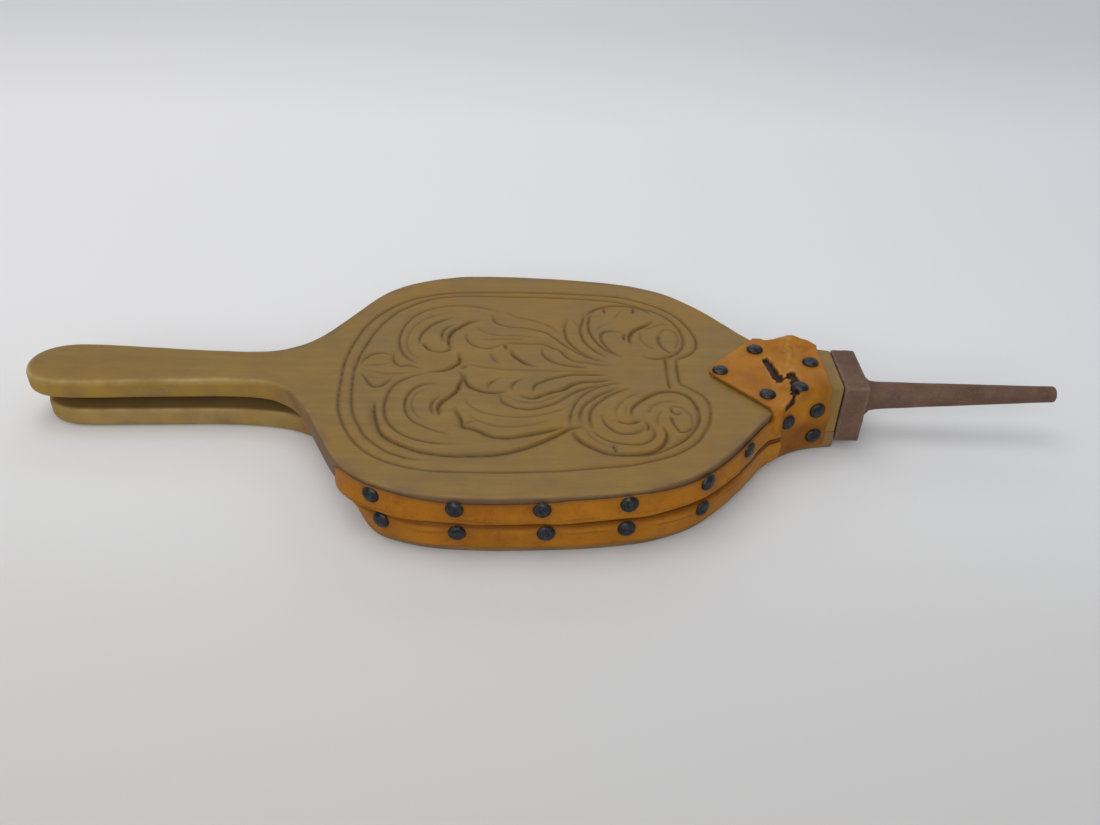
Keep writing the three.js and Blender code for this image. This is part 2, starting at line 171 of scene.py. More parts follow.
# -------------------------------------------------------------------- meshes
def make_mesh(name, verts, quads, tris=(), attrs=None, sharp=None):
    """verts in mm. quads (n,4), tris (n,3). attrs {name: float per vertex}."""
    v = np.asarray(verts, float) * MM
    quads = np.asarray(quads, int).reshape(-1, 4)
    tris = np.asarray(tris, int).reshape(-1, 3)
    bad = (quads[:, 0] == quads[:, 1]) | (quads[:, 2] == quads[:, 3]) | (quads[:, 0] == quads[:, 3]) | (quads[:, 1] == quads[:, 2])
    quads = quads[~bad]
    me = bpy.data.meshes.new(name)
    me.vertices.add(len(v))
    me.vertices.foreach_set("co", v.astype(np.float32).ravel())
    loops = np.concatenate([quads.ravel(), tris.ravel()])
    starts = np.concatenate([np.arange(len(quads)) * 4, len(quads) * 4 + np.arange(len(tris)) * 3])
    me.loops.add(len(loops))
    me.loops.foreach_set("vertex_index", loops.astype(np.int32))
    me.polygons.add(len(starts))
    me.polygons.foreach_set("loop_start", starts.astype(np.int32))
    me.update(calc_edges=True)
    me.validate()
    rest = me.attributes.new("rest", "FLOAT_VECTOR", "POINT")
    rest.data.foreach_set("vector", v.astype(np.float32).ravel())
    for k, a in (attrs or {}).items():
        at = me.attributes.new(k, "FLOAT", "POINT")
        at.data.foreach_set("value", np.asarray(a, np.float32))
    me.polygons.foreach_set("use_smooth", np.ones(len(me.polygons), bool))
    if sharp is not None:
        me.set_sharp_from_angle(angle=math.radians(sharp))
    o = bpy.data.objects.new(name, me)
    bpy.context.scene.collection.objects.link(o)
    return o


def grid_faces(n, m, base=0, closed=False):
    """Quads of an n by m grid of vertices (row major); closed joins the last column to the first."""
    i, j = np.meshgrid(np.arange(n - 1), np.arange(m if closed else m - 1), indexing="ij")
    a = i * m + j
    b = i * m + (j + 1) % m
    q = np.stack([a, b, b + m, a + m], -1).reshape(-1, 4)
    return q + base


# ----------------------------------------------------------- carved ornament
# Cuts of the carving, in mm on the board: (depth, width left, width right, painted shade and dirt along the groove,
# points).
# Left and right are as seen when travelling along the points.
V, S, B = (0.85, 1.5, 1.5, 0.75), (0.45, 2.2, 2.2, 0.4), (1.5, 1.4, 1.4, 1.0)


def with_sides(k, left, right):
    return (k[0], left, right, k[3])


CUTS = [
    # double line border: outer line, then inner line
    ((0.95, 2.6, 2.2, 0.62), 1, [(70.8, 13.9), (75.3, 16.5), (79.4, 20.3), (82.3, 25.6), (83.3, 32), (82.3, 40), (80, 48), (76, 57), (70, 65),
      (63, 71), (54, 76.3), (47, 79.6), (38, 81.6), (20, 83.2), (0, 84), (-20, 84.2), (-40, 83.5), (-55, 82), (-66, 79), (-76, 74.5),
      (-85, 67), (-92, 58), (-97.5, 48), (-101.3, 36), (-103.8, 22), (-105, 8), (-104.9, -2), (-104.3, -9), (-103.2, -21.5), (-100.9, -36.7),
      (-96.4, -49.5), (-88.8, -63.2), (-79.7, -73), (-67.6, -79.8), (-52.4, -83.8), (-41.8, -84.4), (-20, -84.3), (0, -83), (10.2, -82.1),
      (20, -80.6), (29.8, -79.1), (38.9, -77.8), (45, -76.1), (50.3, -74.2), (61.7, -69.2), (67, -65.5), (71.5, -61.7), (75.3, -57.1),
      (78.3, -51.1), (81.2, -45), (82.9, -37.4), (83.6, -31.4), (83.3, -25.3), (81.4, -20), (77.6, -15.5), (73.8, -11.7), (70.9, -9.4),
      (70.3, -4), (70.2, 1), (70.3, 7), (70.8, 13.9)]),
    ((0.95, 2.4, 2.6, 0.68), 2, [(52, 16), (58, 14.2), (66, 15.6), (71.4, 19.8), (74.6, 25), (76.2, 32), (76, 39), (74.4, 47), (71.4, 54),
      (67.4, 60), (61.5, 65), (54, 69.4), (47, 73), (38, 75.6), (20, 77.6), (0, 78.5), (-30, 78.9), (-50, 78.3), (-63, 75.6), (-69.8, 72.2),
      (-75.2, 68), (-79.9, 63.3), (-84, 59.2), (-87.3, 52.9), (-90.3, 46.8), (-92.6, 40), (-94.5, 33.2), (-96, 25.6), (-97.5, 17), (-98.3, 9.7),
      (-98.7, 2.9), (-98.8, -3), (-98.3, -10.2), (-97.1, -20), (-95.6, -29.8), (-93.7, -38.2), (-91.4, -45), (-88, -51.8), (-85, -57.9),
      (-80.5, -63), (-76.4, -67), (-70.4, -71.5), (-62.5, -75), (-55, -77)]),
    ((1.15, 1.8, 3.4, 0.8), 2, [(44.0, -40), (44.3, -33), (46.4, -29), (49.3, -25.6), (53.3, -21.6), (59.0, -17.6), (64.7, -16.4), (69.8, -17.4),
      (73.8, -21.0), (76.3, -26.4), (77.4, -32), (77.2, -40), (75.3, -46), (71.5, -53), (66.5, -59), (60, -64), (52, -68.6), (44, -71.4)]),
    ((0.8, 1.6, 1.6, 0.7), 1, [(64.7, 15.0), (64.6, 8), (64.5, 0), (64.6, -8), (64.9, -14.6)]),
    # lower left scroll
    (with_sides(B, 1.2, 4.6), 2, [(-84, -30), (-82.4, -40.5), (-80.2, -48), (-77.2, -55.6), (-72.1, -61.2), (-66, -65.2), (-57, -69.6), (-49.4, -71.5),
      (-41.8, -72.3), (-34.2, -72.1), (-25.2, -71.5), (-19.1, -70.4), (-11.5, -67.7), (-5.5, -64.7), (-0.9, -61.7), (4.9, -57.1), (9.4, -53.3),
      (13.4, -49.8), (20.6, -47.9)]),
    (with_sides(V, 2.6, 1.6), 3, [(-60, -4), (-66, -6.4), (-70.6, -9.4), (-74.6, -13.6), (-77.2, -19), (-78.6, -28.3), (-78.1, -37.4), (-75.6, -46),
      (-70.5, -53.6), (-64, -58.8), (-56, -62.2), (-47.9, -63.9), (-40, -64)]),
    (with_sides(V, 3.4, 1.2), 3, [(-53.9, -13.2), (-60, -14.3), (-63.6, -16.4), (-66, -19.2), (-68, -24.5), (-68.8, -29.8), (-68, -35.9), (-66, -42),
      (-62.3, -46.9), (-57, -50.6), (-51, -54), (-44, -57)]),
    (S, 3, [(-56, -19), (-60.4, -20), (-64, -23.6), (-65.4, -30), (-64.2, -37), (-60.6, -43), (-55, -46.6)]),
    (with_sides(B, 3.2, 1.4), 2, [(-40.4, -4), (-41.6, -8.6), (-43, -13.9), (-43.5, -18.5), (-45.6, -23), (-48, -26.3), (-50.3, -29.3), (-51.7, -33.6),
      (-51.3, -38.2), (-49.8, -42.5)]),
    (V, 2, [(-51.4, -24.4), (-54.3, -28.6), (-55.4, -32.9), (-54.8, -37.4), (-52.6, -42.4)]),
    (with_sides(B, 1.2, 4.4), 2, [(-43.6, -33.6), (-42, -38.6), (-39.7, -43.5), (-38, -49.8), (-34.2, -50.9), (-29.7, -53.3), (-26.7, -55.6),
      (-22.9, -57.3), (-16.8, -57.9), (-11.5, -56.8), (-5.5, -55), (-0.5, -53.3), (4.1, -51.4), (11.6, -48.6)]),
    (V, 2, [(-38, -50), (-35.6, -46.6), (-31.4, -45.4)]),
    (S, 2, [(-37, -40), (-30, -46), (-20, -49.6), (-8, -48.6), (4, -44)]),
    (S, 2, [(-40, -26), (-36, -33), (-29, -38.4), (-18, -41.4), (-6, -41), (6, -36.6), (14, -31)]),
    # centre leaf, lower edge, its lobes and veins
    (with_sides(B, 1.3, 3.4), 2, [(-44.4, -2), (-41.8, -6), (-39.7, -11.7), (-37.3, -15.8), (-33.5, -18.3), (-28.9, -20), (-22.9, -20.2), (-17.6, -19)]),
    (with_sides(V, 1.2, 2.6), 2, [(-28.4, -19), (-27.8, -13.6), (-25.4, -10.2), (-21.6, -7.6)]),
    (with_sides(V, 1.2, 2.8), 2, [(-15.9, -20), (-16.1, -14.7), (-13.8, -10.4), (-9, -7.4)]),
    (with_sides(V, 1.2, 2.8), 2, [(-5.2, -21), (-4.3, -13.6), (-0.5, -10.2), (4.1, -7.1), (9.4, -4.8), (14.7, -3), (22, -2.6), (34, -3)]),
    (with_sides(B, 1.6, 2.6), 2, [(-12, -21.4), (-8.4, -24.3), (-4, -24.7), (-1, -22.4), (2.6, -20.4), (5.6, -18.7), (10.4, -16.6), (15, -12), (20.8, -9.2),
      (29.1, -8.3), (36, -7)]),
    (with_sides(V, 1.4, 3.2), 2, [(-22.4, -21), (-21.4, -25.3), (-19.8, -29.1), (-16.8, -31.6), (-13, -33.6), (-8.5, -34.4), (-3.9, -34), (-0.5, -32.5),
      (4.9, -29.8), (9.4, -26.1), (14, -21), (21, -15.6), (30, -12.6)]),
    (S, 2, [(-18, -24), (-12, -28), (-4, -29), (4, -25), (11, -20)]),
    # centre leaf, upper edge
    (with_sides(V, 3.4, 1.3), 2, [(-43.6, 36), (-42, 28.4), (-38.8, 24.2), (-34.2, 21.6), (-30.5, 20.9), (-26.7, 22.6), (-21.6, 26.4)]),
    (with_sides(B, 3.8, 1.3), 2, [(-20.8, 26.6), (-10, 26.8), (0, 26.2), (4.8, 22.7), (8.6, 20.1), (11, 15.8), (14.2, 11.5), (18.5, 9.5), (23.8, 8.8),
      (28.3, 7.4), (35, 6.4)]),
    (V, 1, [(-21.4, 26), (-21.4, 23), (-20.6, 20)]),
    (with_sides(B, 1.3, 2.8), 2, [(-18.4, 21), (-16.6, 15), (-13.4, 11), (-9, 6.6), (-3, 3.6)]),
    (with_sides(V, 1.3, 2.4), 2, [(-29, 17), (-28, 12.7), (-26.3, 8.9), (-23, 5.4)]),
    (with_sides(V, 1.3, 2.6), 2, [(-1.6, 23), (-0.7, 15.8), (1.8, 12), (4.8, 9), (8.6, 7), (14, 5.4), (24, 3.6)]),
    (S, 2, [(-42, 6), (-34, 3), (-24, 1), (-10, 0), (8, 0), (30, 0)]),
    (V, 1, [(-40.5, 4), (-42, 1.6), (-43.6, 0.4)]),
    # upper leaf
    (with_sides(V, 2.6, 1.4), 2, [(-29.9, 57.6), (-29.4, 52), (-27.2, 47.6), (-21, 44.6), (-10, 43), (0, 39), (6, 32.6), (10, 27), (16, 20.4), (24, 13.6),
      (33, 9.6)]),
    (S, 2, [(-24, 60), (-16, 55), (-6, 51), (3, 45), (8, 37)]),
    (S, 2, [(-39, 44), (-34, 38), (-26, 35), (-14, 34.6), (-2, 33)]),
    (S, 1, [(-32, 30), (-24, 31), (-12, 30.6)]),
    # upper left scroll
    (with_sides(B, 3.6, 1.3), 2, [(-36.6, 50.2), (-41.8, 48.9), (-44.8, 46.4), (-47.9, 42.9), (-50.9, 38.5), (-52.5, 33.9), (-52.8, 29), (-51.9, 24), (-50.9, 19)]),
    (V, 2, [(-50, 46), (-53.9, 42.3), (-56, 39.2), (-56.8, 34.7), (-56, 29.4), (-54, 25.8)]),
    (with_sides(B, 3.2, 1.4), 1, [(-66, 24.6), (-64.5, 22), (-61.5, 18.2), (-57, 16.9), (-52.4, 17.6), (-50.6, 21)]),
    (with_sides(V, 3.2, 1.3), 2, [(-52, 52.6), (-58, 49.6), (-63, 44.7), (-66.2, 39.2), (-68, 34), (-68.6, 29), (-67.4, 23.4)]),
    (S, 3, [(-52, 58.4), (-62, 55), (-70, 47.6), (-74.2, 38), (-75.3, 29), (-74, 20), (-70.6, 13), (-64, 7)]),
    (with_sides(V, 1.4, 3.2), 3, [(-26, 59.6), (-33, 63.6), (-42, 66.4), (-56, 66.2), (-67, 61.6), (-74.6, 53), (-78.6, 42), (-79.6, 30), (-78.4, 21.8),
      (-76, 15), (-71.4, 8.6), (-66, 4)]),
    (with_sides(V, 1.6, 2.6), 2, [(-81, 16), (-79.4, 6.5), (-75.2, 2.2), (-71.4, 3.2), (-68.3, 2.1), (-64.3, -1.3)]),
    (with_sides(B, 2.4, 1.4), 2, [(-45.9, 17), (-45.1, 11.5), (-44.6, 7), (-46.7, 3.6), (-49.6, 0.3), (-54.2, -1.9), (-61, -3.2)]),
    # far scroll
    (with_sides(V, 1.2, 3.2), 3, [(12.6, 54), (11.3, 47.6), (10.9, 40.8), (11.9, 33), (13.8, 27.9), (17, 22.6), (20.8, 18), (25.3, 14), (31, 11)]),
    (S, 2, [(15.4, 53), (17.7, 47.6), (19.6, 42)]),
    (V, 2, [(22, 60.6), (21.1, 52.1), (19.7, 44.5), (20.1, 37), (22.2, 29), (27, 21), (34, 14)]),
    (with_sides(V, 1.8, 1.4), 2, [(26.8, 62), (24.9, 55), (24.2, 47), (25.3, 38), (28.4, 29.6), (33, 22), (39, 16)]),
    (V, 2, [(43, 40), (38, 42), (33.6, 41), (31, 37), (31.4, 31), (34.6, 23), (38.2, 18), (42.5, 14.4)]),
    (S, 2, [(30, 21), (33, 17.6), (36.6, 14)]),
    (S, 2, [(37, 50), (31, 46), (28, 40)]),
    (with_sides(V, 3, 1.3), 2, [(60.6, 60), (57, 66), (50, 69.5), (42, 70.6), (34, 69), (27, 64), (22, 57)]),
    (V, 1, [(33.4, 69.2), (33.5, 65.4), (33.9, 61)]),
    (V, 1, [(50.6, 68.6), (50.5, 65), (49.8, 61)]),
    (S, 2, [(45, 66), (41, 60), (39, 54)]),
    (with_sides(B, 3.8, 1.3), 2, [(61.4, 53.6), (58, 50.2), (54.1, 47.2), (51.1, 44.7), (48.6, 41.5), (47.1, 37.7), (46.5, 32.4), (47.4, 27.6)]),
    (V, 1, [(44.6, 38.6), (43.6, 35.6), (43.8, 32)]),
    (V, 1, [(63.2, 38.4), (62.5, 33.2), (63.2, 27.9), (65.5, 23.3), (68.6, 19.6)]),
    (S, 1, [(63.6, 39.4), (66, 43.6), (70, 44), (73, 38.6), (73.2, 31), (70.6, 24)]),
    (S, 1, [(55, 44), (60, 46.6), (66, 50), (70, 49)]),
    (S, 1, [(53, 40), (53, 33), (56, 27), (60, 23)]),
    # near scroll
    (with_sides(B, 1.2, 4.4), 2, [(14.2, -50.6), (15.3, -54), (18.5, -59.4), (23, -63.4), (27.6, -66.4), (31.6, -68.4), (40.5, -68.9), (48.8, -67.9), (54.1, -65.4),
      (57.9, -60.9), (59.8, -55.6), (60.2, -51.4), (58.6, -46.6)]),
    (V, 1, [(34.2, -62.4), (34.6, -65.4), (35.6, -68.4)]),
    (V, 2, [(29.6, -37.6), (29.7, -42), (31, -46), (33.6, -49.7), (37.4, -52.8), (42, -53.4), (47, -51.4), (50, -47)]),
    (with_sides(V, 2.6, 1.3), 2, [(24, -52), (29, -57), (34.6, -60.2), (41, -61.4), (48, -60.9), (52.8, -57.1), (54.4, -52.6), (53, -46)]),
    (V, 1, [(50.9, -43.6), (51.7, -47), (51, -50.6)]),
    (with_sides(B, 2.8, 1.4), 1, [(37.2, -43.2), (39.4, -44.4), (42.4, -44.8), (45.4, -44), (47.8, -42)]),
    (V, 1, [(63.9, -31), (64.2, -34.4), (66.4, -36.6), (68.6, -35)]),
    (with_sides(V, 2.4, 1.3), 1, [(63.4, -38.4), (63.8, -42.6), (65.2, -47), (67, -50.9), (70.2, -50.2), (73, -47.4)]),
    (S, 1, [(73.4, -46), (73.6, -40), (71.6, -34), (68, -30.6), (64.4, -30.4)]),
    (S, 1, [(52, -36), (55, -30), (60, -26.4), (66, -25.6)]),
    (S, 1, [(56.4, -46), (56.6, -40), (59, -34)]),
    (with_sides(V, 1.5, 1.5), 2, [(39, -13.4), (33.6, -17.6), (28.6, -21), (25, -25.3), (21.6, -29.3), (19.4, -34.4), (18.4, -40.5), (19, -46.6)]),
    (with_sides(V, 1.2, 3.2), 2, [(40, -9.6), (31, -12.6), (24.4, -17), (19.4, -23), (16, -30), (14, -38), (13.5, -48.4)]),
    (V, 2, [(24.6, -51), (23.4, -44.4), (23.6, -37), (26, -30.6), (30.6, -24.6), (37, -18.6), (45, -14.4)]),
    (S, 2, [(36.4, -40.6), (36.4, -34.6), (39, -28), (44, -22), (51, -18)]),
    (S, 2, [(20.8, -50), (24, -57), (29, -62), (35, -65.4)]),
    (S, 2, [(41.4, -39), (41.4, -33), (43.6, -28)]),
    # palmette between the left scrolls
    (V, 2, [(-95.4, -5.6), (-91.8, -10.2), (-89.5, -14.4), (-86.6, -17.6), (-83, -17.2), (-80, -13.4), (-78, -8)]),
    (V, 2, [(-97, 1.6), (-94.5, 9), (-90.4, 13.6), (-85.4, 14.4), (-81.4, 11.6)]),
    (S, 2, [(-95.6, 0.6), (-90, 2.2), (-84, 3.6), (-79.6, 6)]),
    (S, 2, [(-95.6, -1.4), (-88, -4), (-80, -5.6), (-72, -4.6), (-66, -4)]),
    (S, 2, [(-92, -7), (-87, -10), (-82, -10.6)]),
]


def carve(x, y):
    """Depth of the carving below the board's face and how much shade and dirt is painted along the cut, at points x, y
    (mm).
    """
    h = np.zeros(len(x))
    painted_shade_and_dirt = np.zeros(len(x))
    for (depth, wl, wr, shade_k), fade, pts in CUTS:
        c = catmull(pts, 1.6)
        reach = max(wl, wr, 1.6)
        pick = np.where((x > c[:, 0].min() - reach) & (x < c[:, 0].max() + reach)
                        & (y > c[:, 1].min() - reach) & (y < c[:, 1].max() + reach))[0]
        if not len(pick):
            continue
        seg = np.linalg.norm(np.diff(c, axis=0), axis=1)
        arc = np.concatenate([[0], np.cumsum(seg)])
        total = arc[-1]
        for part in np.array_split(pick, max(1, len(pick) * len(seg) // 3000000 + 1)):
            px, py = x[part], y[part]
            best = np.full(len(part), 1e9)
            side = np.zeros(len(part))
            at = np.zeros(len(part))
            for k in range(len(seg)):
                a, b = c[k], c[k + 1]
                near = np.where((px > min(a[0], b[0]) - reach) & (px < max(a[0], b[0]) + reach)
                                & (py > min(a[1], b[1]) - reach) & (py < max(a[1], b[1]) + reach))[0]
                if not len(near) or seg[k] < 1e-9:
                    continue
                d = (b - a) / seg[k]
                rx, ry = px[near] - a[0], py[near] - a[1]
                t = np.clip(rx * d[0] + ry * d[1], 0, seg[k])
                ex, ey = rx - t * d[0], ry - t * d[1]
                dist = np.hypot(ex, ey)
                better = dist < best[near]
                idx = near[better]
                best[idx] = dist[better]
                side[idx] = np.sign(d[0] * ey - d[1] * ex)[better]
                at[idx] = (arc[k] + t)[better]
            hit = best < reach
            if not hit.any():
                continue
            f = 4.0 * fade
            ends = np.clip(np.minimum(at, total - at) / f, 0, 1) ** 0.6 if fade != 1 else np.clip(0.35 + np.minimum(at, total - at) / 2.5, 0, 1)
            w = np.where(side >= 0, wl, wr)
            q = np.clip(1 - best / w, 0, 1)
            steep = w < 1.65
            prof = np.where(steep, q ** 1.15, 0.45 * q ** 1.2 + 0.55 * q ** 3.2)
            cut = 1.3 * depth * ends * prof
            h[part] = np.maximum(h[part], np.where(hit, cut, 0)) + 0.18 * np.minimum(h[part], np.where(hit, cut, 0))
            # a dark line painted along the groove's bottom: painted shade, with some dirt
            painted_shade_and_dirt[part] = np.maximum(painted_shade_and_dirt[part], np.where(hit, min(1.0, shade_k * 1.3) * ends * np.exp(-(best / 0.62) ** 2), 0))
    return h, painted_shade_and_dirt


# -------------------------------------------------------------------- boards
def outline_distance(curve, x, y, end_x):
    """Distance inside the outline for points near it."""
    c = np.column_stack([curve[:, 0], curve[:, 1]])
    c = c[::2] if len(c) > 900 else c
    ay = np.abs(y)
    d = np.full(len(x), 1e9)
    for i in range(len(c) - 1):
        a, b = c[i], c[i + 1]
        near = np.where((x > a[0] - 7) & (x < b[0] + 7) & (ay > min(a[1], b[1]) - 7))[0]
        if not len(near):
            continue
        v = b - a
        l2 = max(v @ v, 1e-12)
        t = np.clip(((x[near] - a[0]) * v[0] + (ay[near] - a[1]) * v[1]) / l2, 0, 1)
        d[near] = np.minimum(d[near], np.hypot(x[near] - a[0] - t * v[0], ay[near] - a[1] - t * v[1]))
    return np.minimum(d, end_x - x)


def round_drop(d, r):
    u = np.clip(r - d, 0, r)
    return r - np.sqrt(np.maximum(r * r - u * u, 0))


EDGE = np.array([0, 0.12, 0.38, 0.8, 1.35, 2.1, 3.1])


def board_stations(curve, x0, x1, fine0, fine1, dx, coarse, end_x, step=1.0):
    tip = curve[curve[:, 0] < x0 + 14]
    s = np.concatenate([[0], np.cumsum(np.linalg.norm(np.diff(tip, axis=0), axis=1))])
    xs = np.interp(np.arange(0, s[-1], step), s, tip[:, 0])
    xs = np.concatenate([xs, x0 + np.array([0.05, 0.25])])
    xs = np.concatenate([xs, np.arange(x0 + 14, -146, coarse), np.arange(-146, fine0, 1.1), np.arange(fine0, fine1, dx),
                         np.arange(fine1, end_x - 4, 1.3), end_x - EDGE[::-1]])
    xs = np.unique(np.round(xs, 4))
    keep = np.concatenate([[True], np.diff(xs) > 0.04])
    return xs[keep]


def build_upper():
    dx = 0.62
    rows = 312
    end_x = 117.0
    xs = board_stations(UP, -270.0, 0, -112, 90, dx, 2.2, end_x)
    w = half_at(UP, xs)
    n = len(xs)
    frac = np.array([0, 0.05, 0.12, 0.2, 0.29, 0.39, 0.5])
    inset = np.minimum(EDGE[None, :], frac[None, :] * w[:, None])           # n, 7
    edge_n = -(w[:, None] - inset)                                          # near, outside first
    mid_w = w - inset[:, -1]
    mids = np.linspace(-1, 1, rows + 2)[1:-1]
    mid = mid_w[:, None] * mids[None, :]
    y = np.concatenate([edge_n, mid, -edge_n[:, ::-1]], axis=1)             # n, m
    m = y.shape[1]
    x = np.repeat(xs[:, None], m, 1)
    fx, fy = x.ravel(), y.ravel()
    h, painted_shade_and_dirt = np.zeros(len(fx)), np.zeros(len(fx))
    inside = np.where((fx > -112) & (fx < 90) & (np.abs(fy) < 92))[0]
    h[inside], painted_shade_and_dirt[inside] = carve(fx[inside], fy[inside])
    d = outline_distance(UP, fx, fy, end_x)
    r_top = 1.5 + 0.7 * (1 - smoothstep(-175, -118, fx))
    r_top = np.minimum(r_top, 5.8)
    nick = waves2(3, 14, 60)(fx, fy)
    r_use = r_top * (1 + 0.22 * nick)
    z = upper_z(fx) - round_drop(d, r_use) - h
    # hand worn, slightly uneven face
    z -= 0.10 * (waves2(11, 30, 90)(fx, fy) + 1.4) * smoothstep(0, 6, d)
    crown = 0.8 * (1 - smoothstep(-165, -120, fx)) * (np.abs(fy) / np.maximum(half_at(UP, fx), 3)) ** 2.4
    z -= crown
    top = np.column_stack([fx, fy, z])
    r_edge_t = (UPPER_TOP_Z + UPPER_TILT * fx - z).reshape(n, m)[:, 0]
    # side wall and underside, one row loop per station
    r_bot = 1.3 + 1.7 * (1 - smoothstep(-175, -118, xs))
    zb = upper_z(xs) - UPPER_T
    zt_edge = z.reshape(n, m)[:, 0]
    low_rows = []
    for k, f in enumerate([0.25, 0.5, 0.75, 1.0]):
        zz = zt_edge + (zb + r_bot - zt_edge) * f
        low_rows.append(np.column_stack([xs, -w, zz]))
    for e in range(1, 7):
        di = outline_distance(UP, xs, -(w - inset[:, e]), end_x)
        zz = zb + round_drop(di, r_bot)
        low_rows.append(np.column_stack([xs, -(w - inset[:, e]), zz]))
    near = np.stack(low_rows, 1)                                            # n, 10, 3
    far = near[:, ::-1].copy()
    far[:, :, 1] *= -1
    # the straight end: points at end_x keep the rounding from the end distance
    ring = np.concatenate([top.reshape(n, m, 3), far[:, ::-1], near[:, ::-1]], axis=1)
    k = ring.shape[1]
    verts = ring.reshape(-1, 3)
    q = grid_faces(n, k, closed=True)
    shade_and_dirt_all = np.zeros((n, k))
    shade_and_dirt_all[:, :m] = painted_shade_and_dirt.reshape(n, m)
    hall = np.zeros((n, k))
    hall[:, :m] = h.reshape(n, m)
    dall = np.full((n, k), 0.0)
    dall[:, :m] = d.reshape(n, m)
    # a light line along the rounded arris: painted highlight with some edge wear, strongest on the handle
    wear_and_highlight = np.exp(-np.abs(dall - 0.9) / 0.9)
    wear_and_highlight[:, m:] = 0
    wear_and_highlight = wear_and_highlight * (0.18 + 1.05 * (1 - smoothstep(-160, -128, xs)))[:, None]
    grip = (1 - smoothstep(-150, -122, xs))[:, None]
    rim = (1 - smoothstep(0, 5.5, dall)) * (1 - 0.5 * grip)
    wall = np.exp(-(dall / 0.55) ** 2) * (1 - grip) * smoothstep(-122, -104, xs)[:, None]
    gripside = np.exp(-(dall / 0.8) ** 2) * grip
    # cap the nose end with a grid between the top and bottom rows
    base = (n - 1) * k
    last = ring[-1]
    top_idx = base + np.arange(m)
    bot_n = base + m + 10 + np.arange(10)      # near underside, from inner to outer
    bot_f = base + m + np.arange(10)           # far wall from top to underside inner
    bot = np.concatenate([bot_f, bot_n])       # far top .. far inner, near inner .. near top
    tris, quads_end = [], []
    a = list(top_idx[::-1])                    # far to near along the top
    b = list(bot)
    yb = last[m:, 1]
    i = j = 0
    while i < len(a) - 1 or j < len(b) - 1:
        ya = verts[a[min(i + 1, len(a) - 1)]][1]
        ybj = verts[b[min(j + 1, len(b) - 1)]][1]
        if j >= len(b) - 1 or (i < len(a) - 1 and ya >= ybj):
            tris.append((a[i], b[j], a[i + 1])); i += 1
        else:
            tris.append((a[i], b[j], b[j + 1])); j += 1
    o = make_mesh("vis_upper_board", verts, q[:, ::-1], np.array(tris), {"painted_shade_and_dirt": shade_and_dirt_all.ravel(), "cut": hall.ravel(), "wear_and_highlight": wear_and_highlight.ravel(),
                                                                "rim": rim.ravel(), "wall": wall.ravel(), "gripside": gripside.ravel()}, sharp=55)
    return o


def lower_thick(x):
    t = np.where(x < -104, LOWER_T + (LOWER_THIN_T - LOWER_T) * np.clip((-104 - x) / 20, 0, 1), LOWER_T)
    return np.where(x > 112.5, LOWER_T + (LOWER_THIN_T - LOWER_T) * np.clip((x - 112.5) / 6.4, 0, 1), t)


